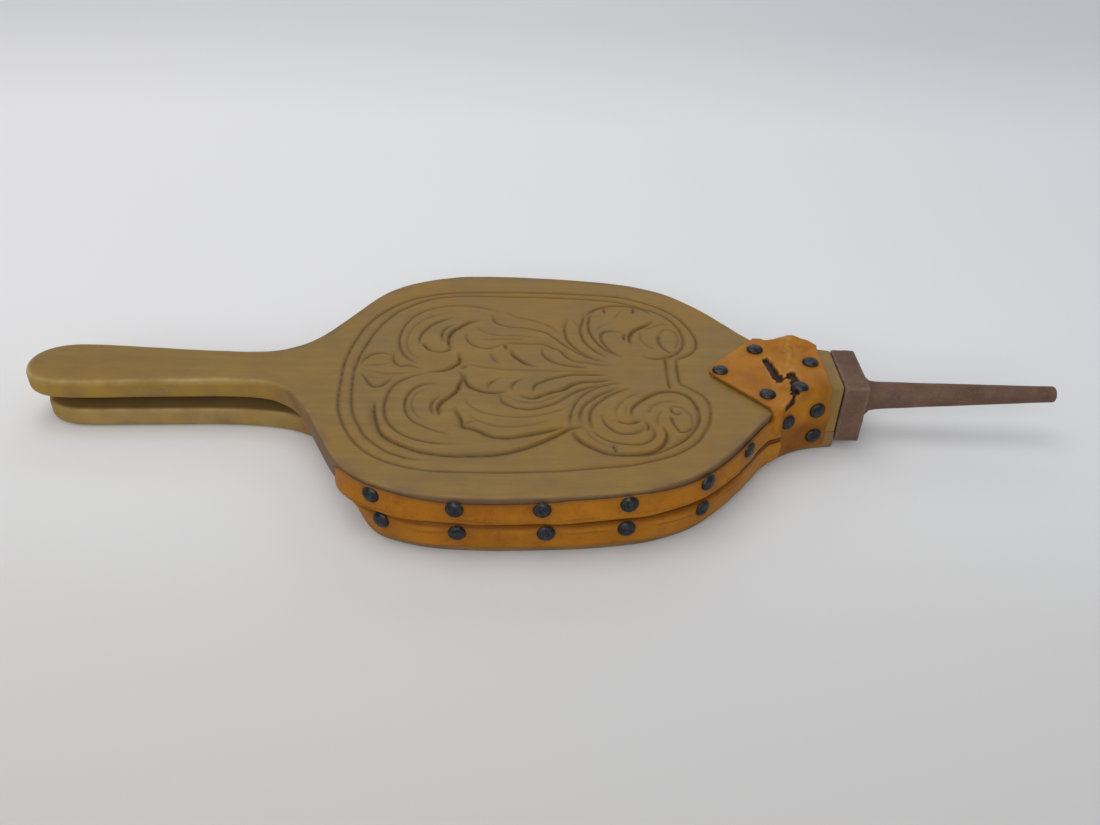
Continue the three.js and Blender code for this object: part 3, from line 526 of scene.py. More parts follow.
def build_lower():
    end_x = 152.7
    hole_x, hole_r = -2.0, 15.0
    ang = np.linspace(0, math.pi, 33)
    xs = board_stations(LO, -266.3, 0, -112, 90, 3.0, 3.0, end_x, 1.6)
    xs = np.concatenate([xs[(xs < hole_x - hole_r - 0.3) | (xs > hole_x + hole_r + 0.3)], hole_x - hole_r * np.cos(ang), [-104, -124, 112.5, 118.9]])
    xs = np.unique(np.round(xs, 3))
    w = half_at(LO, xs)
    n = len(xs)
    frac = np.array([0, 0.05, 0.12, 0.2, 0.29, 0.39, 0.5])
    inset = np.minimum(EDGE[None, :], frac[None, :] * w[:, None])
    edge = w[:, None] - inset
    t = lower_thick(xs)
    rt = 1.3 + 0.2 * (1 - smoothstep(-175, -118, xs))
    rb = 1.2 + 1.6 * (1 - smoothstep(-175, -118, xs))
    inner = np.sqrt(np.maximum(hole_r ** 2 - (xs - hole_x) ** 2, 0))

    def rows(sign):
        out = []
        for e in range(6, 0, -1):                       # underside, inside to outside
            d = outline_distance(LO, xs, edge[:, e], end_x)
            out.append(np.column_stack([xs, sign * edge[:, e], round_drop(d, rb)]))
        for f in (0, 0.33, 0.67, 1.0):
            out.append(np.column_stack([xs, sign * w, rb + (t - rt - rb) * f]))
        for e in range(1, 7):
            d = outline_distance(LO, xs, edge[:, e], end_x)
            out.append(np.column_stack([xs, sign * edge[:, e], t - round_drop(d, rt)]))
        return out

    verts, quads = [], []
    base = 0
    for sign in (-1, 1):
        r = [np.column_stack([xs, sign * inner, np.zeros(n)])] + rows(sign) + [np.column_stack([xs, sign * inner, t])]
        g = np.stack(r, 1)
        k = g.shape[1]
        q = grid_faces(n, k, base=base)
        inside = (np.abs(xs - hole_x) <= hole_r + 1e-6)
        quads.append(q if sign > 0 else q[:, ::-1])
        # wall of the hole
        w_i = [i for i in range(n - 1) if inside[i] and inside[i + 1]]
        wall = np.array([[base + i * k, base + i * k + k - 1, base + (i + 1) * k + k - 1, base + (i + 1) * k] for i in w_i])
        quads.append(wall[:, ::-1] if sign > 0 else wall)
        # tongue end
        e = base + (n - 1) * k
        m = k // 2
        for j in range(m - 1):
            f = [e + j, e + j + 1, e + k - 2 - j, e + k - 1 - j]
            quads.append(np.array([f[::-1] if sign < 0 else f]))
        verts.append(g.reshape(-1, 3))
        base += n * k
    v = np.vstack(verts)
    q = np.vstack(quads)
    # weld the two halves along the middle
    key = np.round(v, 3)
    _, first, inv = np.unique(key, axis=0, return_index=True, return_inverse=True)
    v, q = v[first], inv.ravel()[q]
    ok = np.array([len(set(f)) for f in q]) == 4
    tri = [list(dict.fromkeys(f)) for f in q[~ok]]
    tri = [f for f in tri if len(f) == 3]
    d = outline_distance(LO, v[:, 0], v[:, 1], end_x)
    handle = 1 - smoothstep(-140, -122, v[:, 0])
    # painted shade on the lower handle's top, where the upper handle shades it
    shade_under_upper_handle = 0.5 * handle * smoothstep(8.5, 10.2, v[:, 2]) * smoothstep(1.2, 3.0, d)
    # a light line along the arris: painted highlight with some edge wear, strongest on the handle
    wear_and_highlight = np.exp(-np.abs(d - 0.9) / 0.9) * (0.35 + 0.75 * handle)
    side_face = np.exp(-(d / 0.5) ** 2)
    v = v.copy()
    v[:, 0] += shoulder_shift(v[:, 0]) + 4.0 * smoothstep(-200, -266.3, v[:, 0])
    o = make_mesh("vis_lower_board", v, q[ok], tri, {"painted_shade_and_dirt": shade_under_upper_handle, "cut": np.zeros(len(v)), "wear_and_highlight": wear_and_highlight,
                                                "rim": (1 - smoothstep(0, 5.5, d)) * (1 - 0.5 * handle), "wall": side_face * (1 - handle) * 0.4,
                                                "gripside": side_face * handle * 0.55}, sharp=50)
    return o


# ------------------------------------------------------------------- leather
def shoulder_shift(x):
    """The lower board's shoulders start a little further forward than the upper board's."""
    return 10.0 * smoothstep(-68, -100, x) * (1 - smoothstep(-126, -152, x))


def leather_path():
    half = [(119, -32.2), (115.6, -35)] + [(x, -w) for x, w in reversed(BODY_HALF) if x >= -120] + [
        (-123.4, -27.6), (-126, -20.5), (-127.6, -12.5), (-128.4, -4.2)]
    full = half + [(x, -y) for x, y in reversed(half)]
    c = catmull(full, 0.5)
    step = 1.7
    s = np.concatenate([[0], np.cumsum(np.linalg.norm(np.diff(c, axis=0), axis=1))])
    n = int(s[-1] / step)
    t = np.linspace(0, s[-1], n)
    p = np.column_stack([np.interp(t, s, c[:, 0]), np.interp(t, s, c[:, 1])])
    tan = np.gradient(p, axis=0)
    for _ in range(3):
        tan[1:-1] = (tan[:-2] + 2 * tan[1:-1] + tan[2:]) / 4
    tan /= np.linalg.norm(tan, axis=1)[:, None]
    out = np.column_stack([-tan[:, 1], tan[:, 0]])
    if (out[len(out) // 4] @ p[len(p) // 4]) < 0:
        out = -out
    return p, out, t, s[-1]


def tack_arcs(p, t, rows):
    """Arc position and z of each tack of a row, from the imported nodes."""
    found = []
    for name in rows:
        c, ax = head_place(name)
        k = int(np.argmin(np.hypot(p[:, 0] - c[0], p[:, 1] - c[1])))
        found.append((t[k], c[2]))
    return found


def tack_place(node):
    """(centre of the head's underside, outward axis) of a CAD tack, mm."""
    co = np.array([v.co for v in node.data.vertices], float) * 1000
    d = np.linalg.norm(co[:, None] - co[None], axis=2)
    i, j = np.unravel_index(np.argmax(d), d.shape)
    mean = np.median(co, axis=0)
    if np.linalg.norm(co[i] - mean) > np.linalg.norm(co[j] - mean):
        i, j = j, i
    axis = co[i] - co[j]
    length = np.linalg.norm(axis)
    axis /= length
    dome = 2.3 if length > 10.6 else 1.1
    return co[i] - axis * dome, axis


def head_place(name):
    """Where the head really sits: hand driven tacks stand a little off their marks."""
    c, ax = tack_place(NODES[name])
    c = c.copy()
    if name.startswith("lower_tack"):
        c[2] += 1.0
        if c[0] < -60:
            c[0] += 0.7
    elif name.startswith("upper_tack_far"):
        c[2] -= 2.0
    return c, ax


def build_side_leather():
    p, out, t, total = leather_path()
    n = len(p)
    up_rows = [n for n in sorted(NODES) if n.startswith("upper_tack")]
    lo_rows = [n for n in sorted(NODES) if n.startswith("lower_tack")]
    ut, lt = tack_arcs(p, t, up_rows), tack_arcs(p, t, lo_rows)
    w_top, w_low, w_b, w_c, w_d = waves(21, 18, 70), waves(22, 16, 60), waves(23, 24, 90), waves(24, 12, 40), waves(25, 30, 110)
    wr = waves2(31, 6, 26)
    per_sec = None
    rows_all, wt_all = [], []
    for i in range(n):
        x, y = p[i]
        ub = upper_z(x) - UPPER_T
        lb = float(lower_thick(np.array([x]))[0])
        zt = upper_z(x) - float(np.interp(x, [-100, -75, -55, -40, -10, 8, 14, 40, 60, 80, 98, 112], [1.6, 1.9, 2.5, 3.4, 3.6, 3.1, 2.2, 2.0, 2.7, 3.5, 3.7, 3.3])) + 0.22 * w_top(t[i])
        zl = 4.4 + 0.30 * w_low(t[i])
        tuck = float(smoothstep(-91, -104, x))         # at the shoulders the bands tuck between the boards
        zt = zt * (1 - tuck) + (ub + 0.1) * tuck
        zl = zl * (1 - tuck) + (lb - 0.1) * tuck
        zc = (ub + lb) / 2 + 0.15 + float(np.interp(x, [-100, -78, -40, 0], [0.5, 1.1, 0.7, 0.0])) * (1 - tuck)
        gap = ub - lb
        b1 = (1.15 + 0.55 * w_b(t[i])) * (1 - 0.75 * float(smoothstep(98, 111, x)))   # how far the upper lobe bulges
        q = float(smoothstep(84, 106, x))              # towards the nose the fold closes up
        b2 = 0.75 + 0.45 * w_d(t[i])
        nose = float(smoothstep(58, 104, x))
        d = 24 * (1 - float(smoothstep(-90, 96, x))) + 3.0 - 4.4 * nose
        mid = 0.75 + 0.5 * nose
        jog = 0.35 * w_c(t[i])
        d_in = -d
        ctrl = [
            (1.0, zt), (1.05, zt - 1.6), (1.15 + 0.25 * b1, zt - 4.5), (1.2 + 0.75 * b1, (zt - 5 + ub) / 2 + 0.6), (1.25 + b1, ub + 0.7),
            (0.9 + b1, (ub - 0.9 + jog * 0.5) * (1 - q) + (zc + 1.3) * q), (-0.2, (ub - 1.35) * (1 - q) + (zc + 0.6) * q), (-1.7, zc + mid + 0.1),
            (d_in * 0.5 - 0.9, zc + mid), (d_in + 0.9, zc + mid * 0.75), (d_in, zc + jog * 0.2), (d_in + 0.9, zc - mid * 0.75), (d_in * 0.5 - 0.9, zc - mid),
            (-1.2, zc - mid - 0.1), (0.8, (lb + 1.25) * (1 - q) + (zc - 0.6) * q), (1.7 + b2, (lb + 0.1 + jog * 0.4) * (1 - q) + (zc - 1.9) * q), (1.9 + b2, lb - 1.6), (1.85 + 0.5 * b2, lb - 4.2),
            (1.85, (lb - 5 + zl) / 2), (1.85, zl),
        ]
        shift = -(5.2 - 3.4 * float(smoothstep(-116, -122, x))) * tuck
        thin = 1 - 0.45 * float(smoothstep(-80, -96, x))
        ctrl = [((o * thin if o > 0.9 else o) * (1 - 0.6 * tuck) + shift, min(max(z, zl), zt)) for o, z in ctrl]
        ctrl[0], ctrl[-1] = (max(1.0 * thin, 0.75) + shift - 0.6 * tuck, zt), (1.85 * thin + shift - 0.6 * tuck, zl)
        per = [3, 3, 3, 3, 4, 4, 3, 2, 2, 3, 3, 2, 2, 3, 4, 4, 3, 3, 2]
        pts = np.array(ctrl)
        # sample with a fixed count per span so that the rows match
        e = np.vstack([2 * pts[0] - pts[1], pts, 2 * pts[-1] - pts[-2]])
        sec, kk = [], []
        for j, c in enumerate(per):
            p0, p1, p2, p3 = e[j:j + 4]
            for u in np.arange(c) / c:
                sec.append(0.5 * ((2 * p1) + (p2 - p0) * u + (2 * p0 - 5 * p1 + 4 * p2 - p3) * u * u + (3 * p1 - p0 - 3 * p2 + p3) * u ** 3))
                kk.append(j + u)
        sec.append(pts[-1]); kk.append(len(per))
        rows_all.append(np.array(sec))
    kk = np.array(kk)
    m = len(kk)
    sec = np.array(rows_all)                           # n, m, 2 (outward, z)
    weight = np.interp(kk, [0, 4.6, 6, 10, 14, 15.4, 19], [1, 1, 0.97, 0.5, 0.03, 0, 0])
    # puckers round the tacks and wrinkles
    T = np.repeat(t[:, None], m, 1)
    ox, z = sec[:, :, 0].copy(), sec[:, :, 1].copy()
    band_up = ((kk < 5.2))[None, :] & np.ones((n, 1), bool)
    band_lo = ((kk > 14.6))[None, :] & np.ones((n, 1), bool)
    press = np.zeros((n, m))
    for ts, zs in ut:
        r2 = ((T - ts) / 7.5) ** 2 + ((z - zs) / 6.0) ** 2
        press += np.where(band_up, np.exp(-r2), 0)
    for ts, zs in lt:
        r2 = ((T - ts) / 7.5) ** 2 + ((z - zs) / 5.0) ** 2
        press += np.where(band_lo, np.exp(-r2), 0)
    free = np.clip((ox - 1.0) / 2.0, 0, 1)
    ox = ox - np.clip(press, 0, 1) * np.clip(ox - np.where(band_lo, 1.85, 1.05), 0, None) * 0.85
    fine = wr(T, z * 1.6)
    ox = ox + np.where(band_up | band_lo, 0.16 * fine * (0.35 + free), 0.0)
    z = z + np.where((kk > 4.0) & (kk < 15.6), 0.0, 0.05 * fine)
    # diagonal draw lines near the nose, where the fold runs out
    nosek = smoothstep(72, 112, p[:, 0])[:, None]
    ox = ox + nosek * np.where(band_up | band_lo, 0.12 * np.sin((T * 0.42 + z * 1.1)) * np.clip(1 - press, 0, 1), 0)
    # finer creases that run along the bands beside the fold
    w_e, w_f = waves(61, 26, 90), waves(62, 20, 80)
    k1 = 4.05 + 0.45 * w_e(t)[:, None]
    k2 = 15.75 + 0.5 * w_f(t)[:, None]
    on1 = np.clip(w_f(t * 0.9 + 40) + 0.35, 0, 1)[:, None]
    on2 = np.clip(w_e(t * 1.1 + 90) + 0.35, 0, 1)[:, None] + (smoothstep(45, 62, p[:, 0]) * (1 - smoothstep(92, 100, p[:, 0])))[:, None]
    line2 = np.exp(-((kk[None, :] - k1) / 0.22) ** 2) * on1 + np.exp(-((kk[None, :] - k2) / 0.22) ** 2) * np.clip(on2, 0, 1)
    line2 = line2 * (1 - np.clip(press, 0, 1))
    ox = ox - 0.34 * line2
    # thickness
    dz = np.gradient(z, axis=1)
    do = np.gradient(ox, axis=1)
    ln = np.hypot(dz, do) + 1e-9
    no, nz = -dz / ln, do / ln                         # the section runs downwards, so this points outwards
    half_t = 0.65 * np.where((kk > 6.5) & (kk < 13.5), 0.7, 1.0)[None, :]
    out_o, out_z = ox + no * half_t, z + nz * half_t
    in_o, in_z = ox - no * half_t, z - nz * half_t

    low_part = np.interp(kk, [7, 13, 15, 18], [0, 0.22, 0.4, 1.0])[None, :] * (0.55 + 0.45 * smoothstep(-126, -112, p[:, 0]))[:, None]

    def place(o, zz):
        px = p[:, 0:1] + out[:, 0:1] * o
        return np.stack([px + shoulder_shift(px) * low_part, p[:, 1:2] + out[:, 1:2] * o, zz], -1)

    outer, inner = place(out_o, out_z), place(in_o, in_z)
    ring = np.concatenate([outer, inner[:, ::-1]], 1)
    k = ring.shape[1]
    verts = ring.reshape(-1, 3)
    quads = grid_faces(n, k, closed=True)
    caps = []
    for e in (0, (n - 1) * k):
        for j in range(m - 1):
            f = [e + j, e + j + 1, e + k - 2 - j, e + k - 1 - j]
            caps.append(f if e == 0 else f[::-1])
    w = np.concatenate([np.repeat(weight[None], n, 0), np.repeat(weight[None, ::-1], n, 0)], 1)
    # darker in the fold tucked between the boards and along the fine creases: painted shade, with some dirt
    crease_and_shade = np.concatenate([np.repeat(np.interp(kk, [4.4, 5.6, 7, 13, 14.2, 15.2], [0, 0.55, 1, 1, 0.55, 0])[None], n, 0)] * 1 + [
        np.repeat(np.interp(kk[::-1], [4.4, 5.6, 7, 13, 14.2, 15.2], [0, 0.55, 1, 1, 0.55, 0])[None], n, 0)], 1)
    crease_and_shade = np.maximum(crease_and_shade, 0.62 * np.concatenate([line2, line2[:, ::-1]], 1))
    edge_d = np.minimum(kk, 19 - kk)
    cutedge = np.concatenate([np.repeat(np.exp(-edge_d / 0.25)[None], n, 0), np.repeat(np.exp(-edge_d[::-1] / 0.25)[None], n, 0)], 1)
    prs = np.concatenate([press, press[:, ::-1]], 1)
    tt = np.concatenate([T, T], 1)
    mesh_faces = np.vstack([quads, np.array(caps)])
    # a sample of the faces; nothing uses it
    probe = verts[mesh_faces[:200]]
    o = make_mesh("vis_side_leather", verts, mesh_faces, (), {"crease_and_shade": crease_and_shade.ravel(), "cutedge": cutedge.ravel(), "press": np.clip(prs, 0, 1).ravel(),
                                                        "torn": np.zeros(len(verts)), "hole": np.zeros(len(verts)), "along": tt.ravel() * MM}, sharp=70)
    return o, w.ravel()


CAP_HALF = [(86.5, 0), (87.2, 2.6), (88.5, 4.6), (92, 9.0), (97, 14.6), (104, 22.6), (111, 30.6), (113.5, 33.6), (114.3, 37.0), (115.4, 37.4), (117, 36.7), (118.6, 35.2), (120, 33.6)]
BLOCK_OUT = [(119.3, 31.4), (125, 27.4), (131, 23.9), (137, 21.4), (144, 19.5), (152.7, 18)]
HOLES = [  # torn places in the nose leather: half width, points (x, y)
    (1.9, [(117.4, 11.5), (118.4, 6.0), (119.2, 0.5), (120.4, -5.5), (121.8, -10.5)]),
    (0.9, [(121.8, -10.5), (123.8, -10.2), (126.2, -9.2)]),
    (2.0, [(126.6, -8.6), (127.4, -14.0), (127.0, -19.5), (126.0, -24.5)]),
    (0.7, [(126.0, -24.5), (124.4, -28.4), (121.0, -31.6)]),
]


def line_distance(x, y, pts):
    c = catmull(pts, 1.0)
    best = np.full(np.shape(x), 1e9)
    for a, b in zip(c[:-1], c[1:]):
        v = b - a
        t = np.clip(((x - a[0]) * v[0] + (y - a[1]) * v[1]) / max(v @ v, 1e-12), 0, 1)
        best = np.minimum(best, np.hypot(x - a[0] - t * v[0], y - a[1] - t * v[1]))
    return best


def build_nose_leather():
    dx = 0.55
    xs = np.concatenate([[86.5, 86.6, 86.8, 87.1, 87.5, 88, 88.6, 89.4], np.arange(90.2, 112, 1.0), np.arange(112, 134, dx * 0.9), np.arange(134, 147.01, 0.9)])
    n = len(xs)
    rows_top = 128
    rows_wall = 30
    cap = np.array(CAP_HALF, float)
    blk = np.array(BLOCK_OUT, float)
    on_block = smoothstep(118.2, 121.0, xs)
    w_cap = np.interp(xs, cap[:, 0], cap[:, 1])
    w_blk = np.interp(xs, blk[:, 0], blk[:, 1]) + 1.0
    w = w_cap * (1 - on_block) + w_blk * on_block
    ztop = np.where(xs < 117, upper_z(xs) + 1.0, 0)
    line = np.interp(xs, [117, 119.4, 126.7, 131, 147], [upper_z(117) + 1.0, 34.3, 38.6, 39.2, 39.2])
    ztop = np.where(xs < 117, ztop, line)
    # wall depth: none on the flap, then growing until the full wall on the block
    zlow = np.where(xs < 112.5, ztop, np.interp(xs, [112.5, 113.4, 114.2, 115.2, 118, 119.6, 120.6, 121.5], [ztop[np.searchsorted(xs, 112.5)], 31.0, 24.0, 22.6, 22.2, 20.5, 8.5, 3.7]))
    edge = waves(41, 3, 14)
    zlow = zlow + np.where(xs > 114, 0.5 * edge(xs * 1.0), 0)
    zlow = np.maximum(zlow, 3.5)
    depth = np.maximum(ztop - zlow, 0)
    r = np.minimum(2.4, depth * 0.6)
    u_wall = np.linspace(0, 1, rows_wall)[:-1]
    mids = []
    for i in range(n):
        seq = []
        for u in u_wall:
            seq.append((-w[i], zlow[i] + (ztop[i] - r[i] - zlow[i]) * u))
        for a in np.linspace(0, math.pi / 2, 6)[:-1]:
            seq.append((-w[i] + r[i] * (1 - math.cos(a)), ztop[i] - r[i] + r[i] * math.sin(a)))
        for u in np.linspace(-1, 1, rows_top):
            seq.append(((w[i] - r[i]) * u, ztop[i]))
        for a in np.linspace(math.pi / 2, 0, 6)[1:]:
            seq.append((w[i] - r[i] * (1 - math.cos(a)), ztop[i] - r[i] + r[i] * math.sin(a)))
        for u in u_wall[::-1]:
            seq.append((w[i], zlow[i] + (ztop[i] - r[i] - zlow[i]) * u))
        mids.append(seq)
    g = np.array(mids)                                    # n, m, 2 (y, z)
    m = g.shape[1]
    X = np.repeat(xs[:, None], m, 1)
    Y, Z = g[:, :, 0].copy(), g[:, :, 1].copy()
    jj = np.arange(m)
    top = (jj >= rows_wall - 1 + 2) & (jj < m - (rows_wall - 1 + 2))
    # ragged, lifted places
    hole_d = np.full(X.shape, 1e9)
    rag = waves2(51, 1.6, 6.5)
    for hw, pts in HOLES:
        hole_d = np.minimum(hole_d, line_distance(X, Y, pts) - hw * (1 + 0.28 * rag(X, Y)))
    on_top = Z > (ztop[:, None] - 3.0)
    hole_d = np.where(on_top, hole_d, 1e9)
    gone = hole_d < 0
    torn = np.exp(-np.clip(hole_d, 0, None) / 1.3)
    sunk = smoothstep(0.30, -0.30, hole_d)
    lift = np.exp(-np.clip(hole_d, 0, None) / 1.7) * 0.85 * (0.75 + 0.55 * rag(X * 0.6, Y * 0.6))
    ridge = line_distance(X, Y, [(129.6, 31), (129.6, 24), (129.4, 16), (128.9, 8), (126.8, 0), (126.4, -5)])
    ridge_h = 1.7 * np.exp(-(ridge / 1.9) ** 2) * smoothstep(-8, 14, Y) * (1 - 0.9 * smoothstep(15, 25, Y)) * (1 + 0.35 * rag(X * 0.7, Y * 0.7))
    bump = 0.3 * np.exp(-(((X - 127.6) / 5.5) ** 2 + ((Y - 27) / 6.5) ** 2))
    bump += 2.9 * np.exp(-(((X - 138.2) / 9.0) ** 4 + ((Y - 25) / 8.5) ** 2)) * (1 + 0.10 * rag(X * 0.4, Y * 0.4))
    soft = waves2(52, 9, 30)
    fine = waves2(53, 2.4, 7)
    soft_front = waves(54, 7, 26)
    crack = line_distance(X, Y, [(91, -5), (99, -14.5), (107, -24), (114, -32.5)])
    curl = 0.7 * np.exp(-(crack / 2.4) ** 2)
    # the puffed leather over the far arris leans outwards; the front edge is cut a little askew
    Y = np.where(Y > 0, Y * (1 - 0.07 * np.exp(-((X - 115.5) / 2.8) ** 2)), Y)
    Y = Y + np.where(Y > 8, 1.6 * np.exp(-((X - 135.5) / 8.0) ** 4) * smoothstep(26, 37, Z), 0)
    X = X - np.where(on_top, 1.0, smoothstep(24, 38, Z)) * smoothstep(138, 147, X) * (1.2 + 0.012 * (Y + 20)) - 0.35 * smoothstep(141, 147, X) * soft_front(Y + Z)
    mask_top = np.where(on_top, 1.0, 0.0)
    flat_flap = 1 - smoothstep(108, 118, X)
    Z = Z + mask_top * (np.maximum(lift, 0) * (1 - 0.4 * flat_flap) + ridge_h + bump * (1 - flat_flap) + 0.22 * (soft(X, Y) + 0.6) * (0.35 + 0.65 * (1 - flat_flap))
                        + 0.06 * fine(X, Y)) * (1 - sunk) + curl * mask_top * flat_flap * 0.6 - 0.5 * sunk
    wall = ~on_top
    sgn = np.sign(Y)
    Y = Y + np.where(wall, sgn * (0.30 * (soft(X, Z * 1.3) + 0.7) + 0.08 * fine(X, Z)), 0)
    # thickness
    P = np.stack([X, Y, Z], -1)
    du = np.gradient(P, axis=0)
    dv = np.gradient(P, axis=1)
    nrm = np.cross(du, dv)
    ln = np.linalg.norm(nrm, axis=2, keepdims=True)
    flat = np.array([0, 0, 1.0])
    nrm = np.where(ln > 1e-7, nrm / np.maximum(ln, 1e-9), flat)
    nrm = np.where((nrm[:, :, 2:3] < -0.2) & on_top[:, :, None], -nrm, nrm)
    # consistent outward direction
    outw = np.stack([np.zeros_like(X), np.where(wall, sgn, 0), np.where(wall, 0, 1.0)], -1)
    nrm = np.where((nrm * outw).sum(-1, keepdims=True) < 0, -nrm, nrm)
    for _ in range(2):
        nrm[1:-1, 1:-1] = (nrm[1:-1, 1:-1] * 2 + nrm[:-2, 1:-1] + nrm[2:, 1:-1] + nrm[1:-1, :-2] + nrm[1:-1, 2:]) / 6
    nrm /= np.maximum(np.linalg.norm(nrm, axis=2, keepdims=True), 1e-6)
    half_t = (0.62 - 0.36 * sunk)[:, :, None]
    outer, inner = P + nrm * half_t, P - nrm * half_t
    # keep the flap above the board
    inner[:, :, 2] = np.where(on_top & (X < 117), np.maximum(inner[:, :, 2], upper_z(X) + 0.08), inner[:, :, 2])
    verts = np.concatenate([outer.reshape(-1, 3), inner.reshape(-1, 3)])
    N = n * m
    keep = np.ones((n - 1, m - 1), bool)
    deg = (depth < 0.05)
    in_wall = (jj < rows_wall + 4) | (jj >= m - rows_wall - 5)
    flat_cell = (deg[:-1] & deg[1:])[:, None] & (in_wall[:-1])[None, :]
    keep = keep & ~flat_cell
    i, j = np.where(keep)
    a = i * m + j
    q1 = np.stack([a, a + 1, a + m + 1, a + m], -1)
    q2 = q1[:, ::-1] + N
    faces = [q1, q2]
    # walls round every open edge
    from collections import Counter
    e = np.concatenate([q1[:, [0, 1]], q1[:, [1, 2]], q1[:, [2, 3]], q1[:, [3, 0]]])
    cnt = Counter(map(tuple, np.sort(e, axis=1)))
    rim = np.array([x for x in e if cnt[tuple(sorted(x))] == 1])
    faces.append(np.stack([rim[:, 1], rim[:, 0], rim[:, 0] + N, rim[:, 1] + N], -1))
    faces = np.vstack(faces)
    used = np.unique(faces)
    remap = np.full(2 * N, -1)
    remap[used] = np.arange(len(used))
    rim_flag = np.zeros(2 * N)
    rim_flag[rim.ravel()] = 1
    tornall = np.concatenate([torn.ravel(), np.maximum(torn.ravel(), 0.5)])
    pale = np.exp(-(ridge / 4.2) ** 2) * 0.8 + 0.55 * np.exp(-(((X - 118.5) / 4.5) ** 2 + ((Y + 20) / 8.0) ** 2))
    ridgeall = np.concatenate([np.clip(pale * (0.65 + 0.6 * fine(X * 0.8, Y * 0.8)), 0, 1).ravel()] * 2)
    XX = np.concatenate([X.ravel(), X.ravel()])
    wgt = 1 - smoothstep(113.0, 121.5, XX)
    # the weight is lowered on the lower part of the near wall behind the hinge
    ZZ = np.concatenate([Z.ravel(), Z.ravel()])
    wgt = wgt * smoothstep(17, 27, ZZ)
    darkline = np.concatenate([np.exp(-(np.abs(hole_d) / 0.5)).ravel()] * 2)
    # the tears are painted nearly black: painted shade inside them
    sunkall = np.concatenate([smoothstep(0.42, -0.05, hole_d).ravel()] * 2)
    # painted shade: the low part of the block's side walls, darker towards the bottom
    low_wall_shade = 0.62 * np.concatenate([(np.where(wall, smoothstep(27, 16, Z) * smoothstep(114, 121, X), 0)).ravel()] * 2)
    # painted shadow line under the flap's near edge, with a darker edge
    flap_edge_shadow = np.where(on_top & (Y < 0), 0.75 * np.exp(-((w[:, None] + Y) / 0.9) ** 2) * (1 - smoothstep(113, 116, X)), 0)
    stain = 0.55 * np.exp(-(((X - 142) / 5.0) ** 2 + ((Y + 18) / 6.0) ** 2)) + 0.30 * np.exp(-(((X - 124) / 6.0) ** 2 + ((Z - 16) / 8.0) ** 2)) * (Y < 0)
    more = np.concatenate([np.maximum(flap_edge_shadow, stain).ravel()] * 2)
    ring = np.zeros(X.shape)
    for name in NODES:
        if name.startswith("flap_tack") or name.startswith("block_side") or name.startswith("block_top"):
            c0 = head_place(name)[0]
            r3 = np.sqrt((X - c0[0]) ** 2 + (Y - c0[1]) ** 2 + (Z - c0[2]) ** 2)
            ring = np.maximum(ring, np.exp(-(r3 / 5.9) ** 4))
    ringall = np.concatenate([ring.ravel()] * 2)
    attrs = {"crease_and_shade": np.maximum(np.maximum(darkline * 0.6, low_wall_shade), more)[used], "cutedge": rim_flag[used], "press": ringall[used],
             "torn": np.clip((tornall + ridgeall) * (1 - sunkall), 0, 1)[used], "hole": sunkall[used], "along": XX[used] * MM}
    o = make_mesh("vis_nose_leather", verts[used], remap[faces], (), attrs, sharp=60)
    return o, wgt[used]


# ------------------------------------------------------------------ hardware
def lathe_mesh(profile, seg, close_first=True, close_last=True):
    """Rings round +Z. profile is (radius, z) rows. Returns verts, quads, tris."""
    verts, quads, tris = [], [], []
    ang = np.linspace(0, 2 * math.pi, seg, endpoint=False)
    for r, z in profile:
        verts.append(np.column_stack([r * np.cos(ang), r * np.sin(ang), np.full(seg, z)]))
    v = np.vstack(verts)
    n = len(profile)
    q = grid_faces(n, seg, closed=True)
    extra = []
    if close_first:
        extra.append([0, 0, profile[0][1]])
        c = len(v)
        tris += [(c, (k + 1) % seg, k) for k in range(seg)]
    if close_last:
        extra.append([0, 0, profile[-1][1]])
        c = len(v) + len(extra) - 1
        b = (n - 1) * seg
        tris += [(c, b + k, b + (k + 1) % seg) for k in range(seg)]
    if extra:
        v = np.vstack([v, np.array(extra)])
    return v, q, np.array(tris)


def frame_from_axis(axis):
    z = np.array(axis, float)
    h = np.array([0, 0, 1.0]) if abs(z[2]) < 0.9 else np.array([1.0, 0, 0])
    x = np.cross(h, z); x /= np.linalg.norm(x)
    return np.column_stack([x, np.cross(z, x), z])


def build_tacks():
    rnd = np.random.RandomState(5)
    made = []
    for name in sorted(NODES):
        if "_tack_" not in name or name.startswith("valve"):
            continue
        c, ax = head_place(name)
        R, H = 4.25 * rnd.uniform(0.96, 1.02), 2.2 * rnd.uniform(0.88, 1.0)
        prof = [(0.9, -8.8), (0.9, -0.1), (R - 0.35, -0.1), (R, 0.12)]
        for a in np.linspace(6, 84, 8):
            prof.append((R * math.cos(math.radians(a)) ** 0.9, 0.15 + (H - 0.15) * math.sin(math.radians(a))))
        v, q, t = lathe_mesh(prof, 28)
        # hammered head: a few soft dents
        for _ in range(4):
            d0 = rnd.uniform(-R * 0.8, R * 0.8, 2)
            k = (v[:, 2] > 0.3)
            dist = np.hypot(v[:, 0] - d0[0], v[:, 1] - d0[1])
            v[:, 2] -= np.where(k, 0.22 * np.exp(-(dist / 1.1) ** 2), 0)
        tilt = rnd.normal(0, 0.03, 2)
        M = frame_from_axis(ax)
        axis2 = M @ np.array([tilt[0], tilt[1], 1.0])
        M = frame_from_axis(axis2 / np.linalg.norm(axis2))
        v = v @ M.T + c
        o = make_mesh("vis_" + name, v, q, t, sharp=50)
        o.data.materials.append(MATS["tack"])
        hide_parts(name)
        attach(o, NODES[name]["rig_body"])
        made.append(o)
    return made


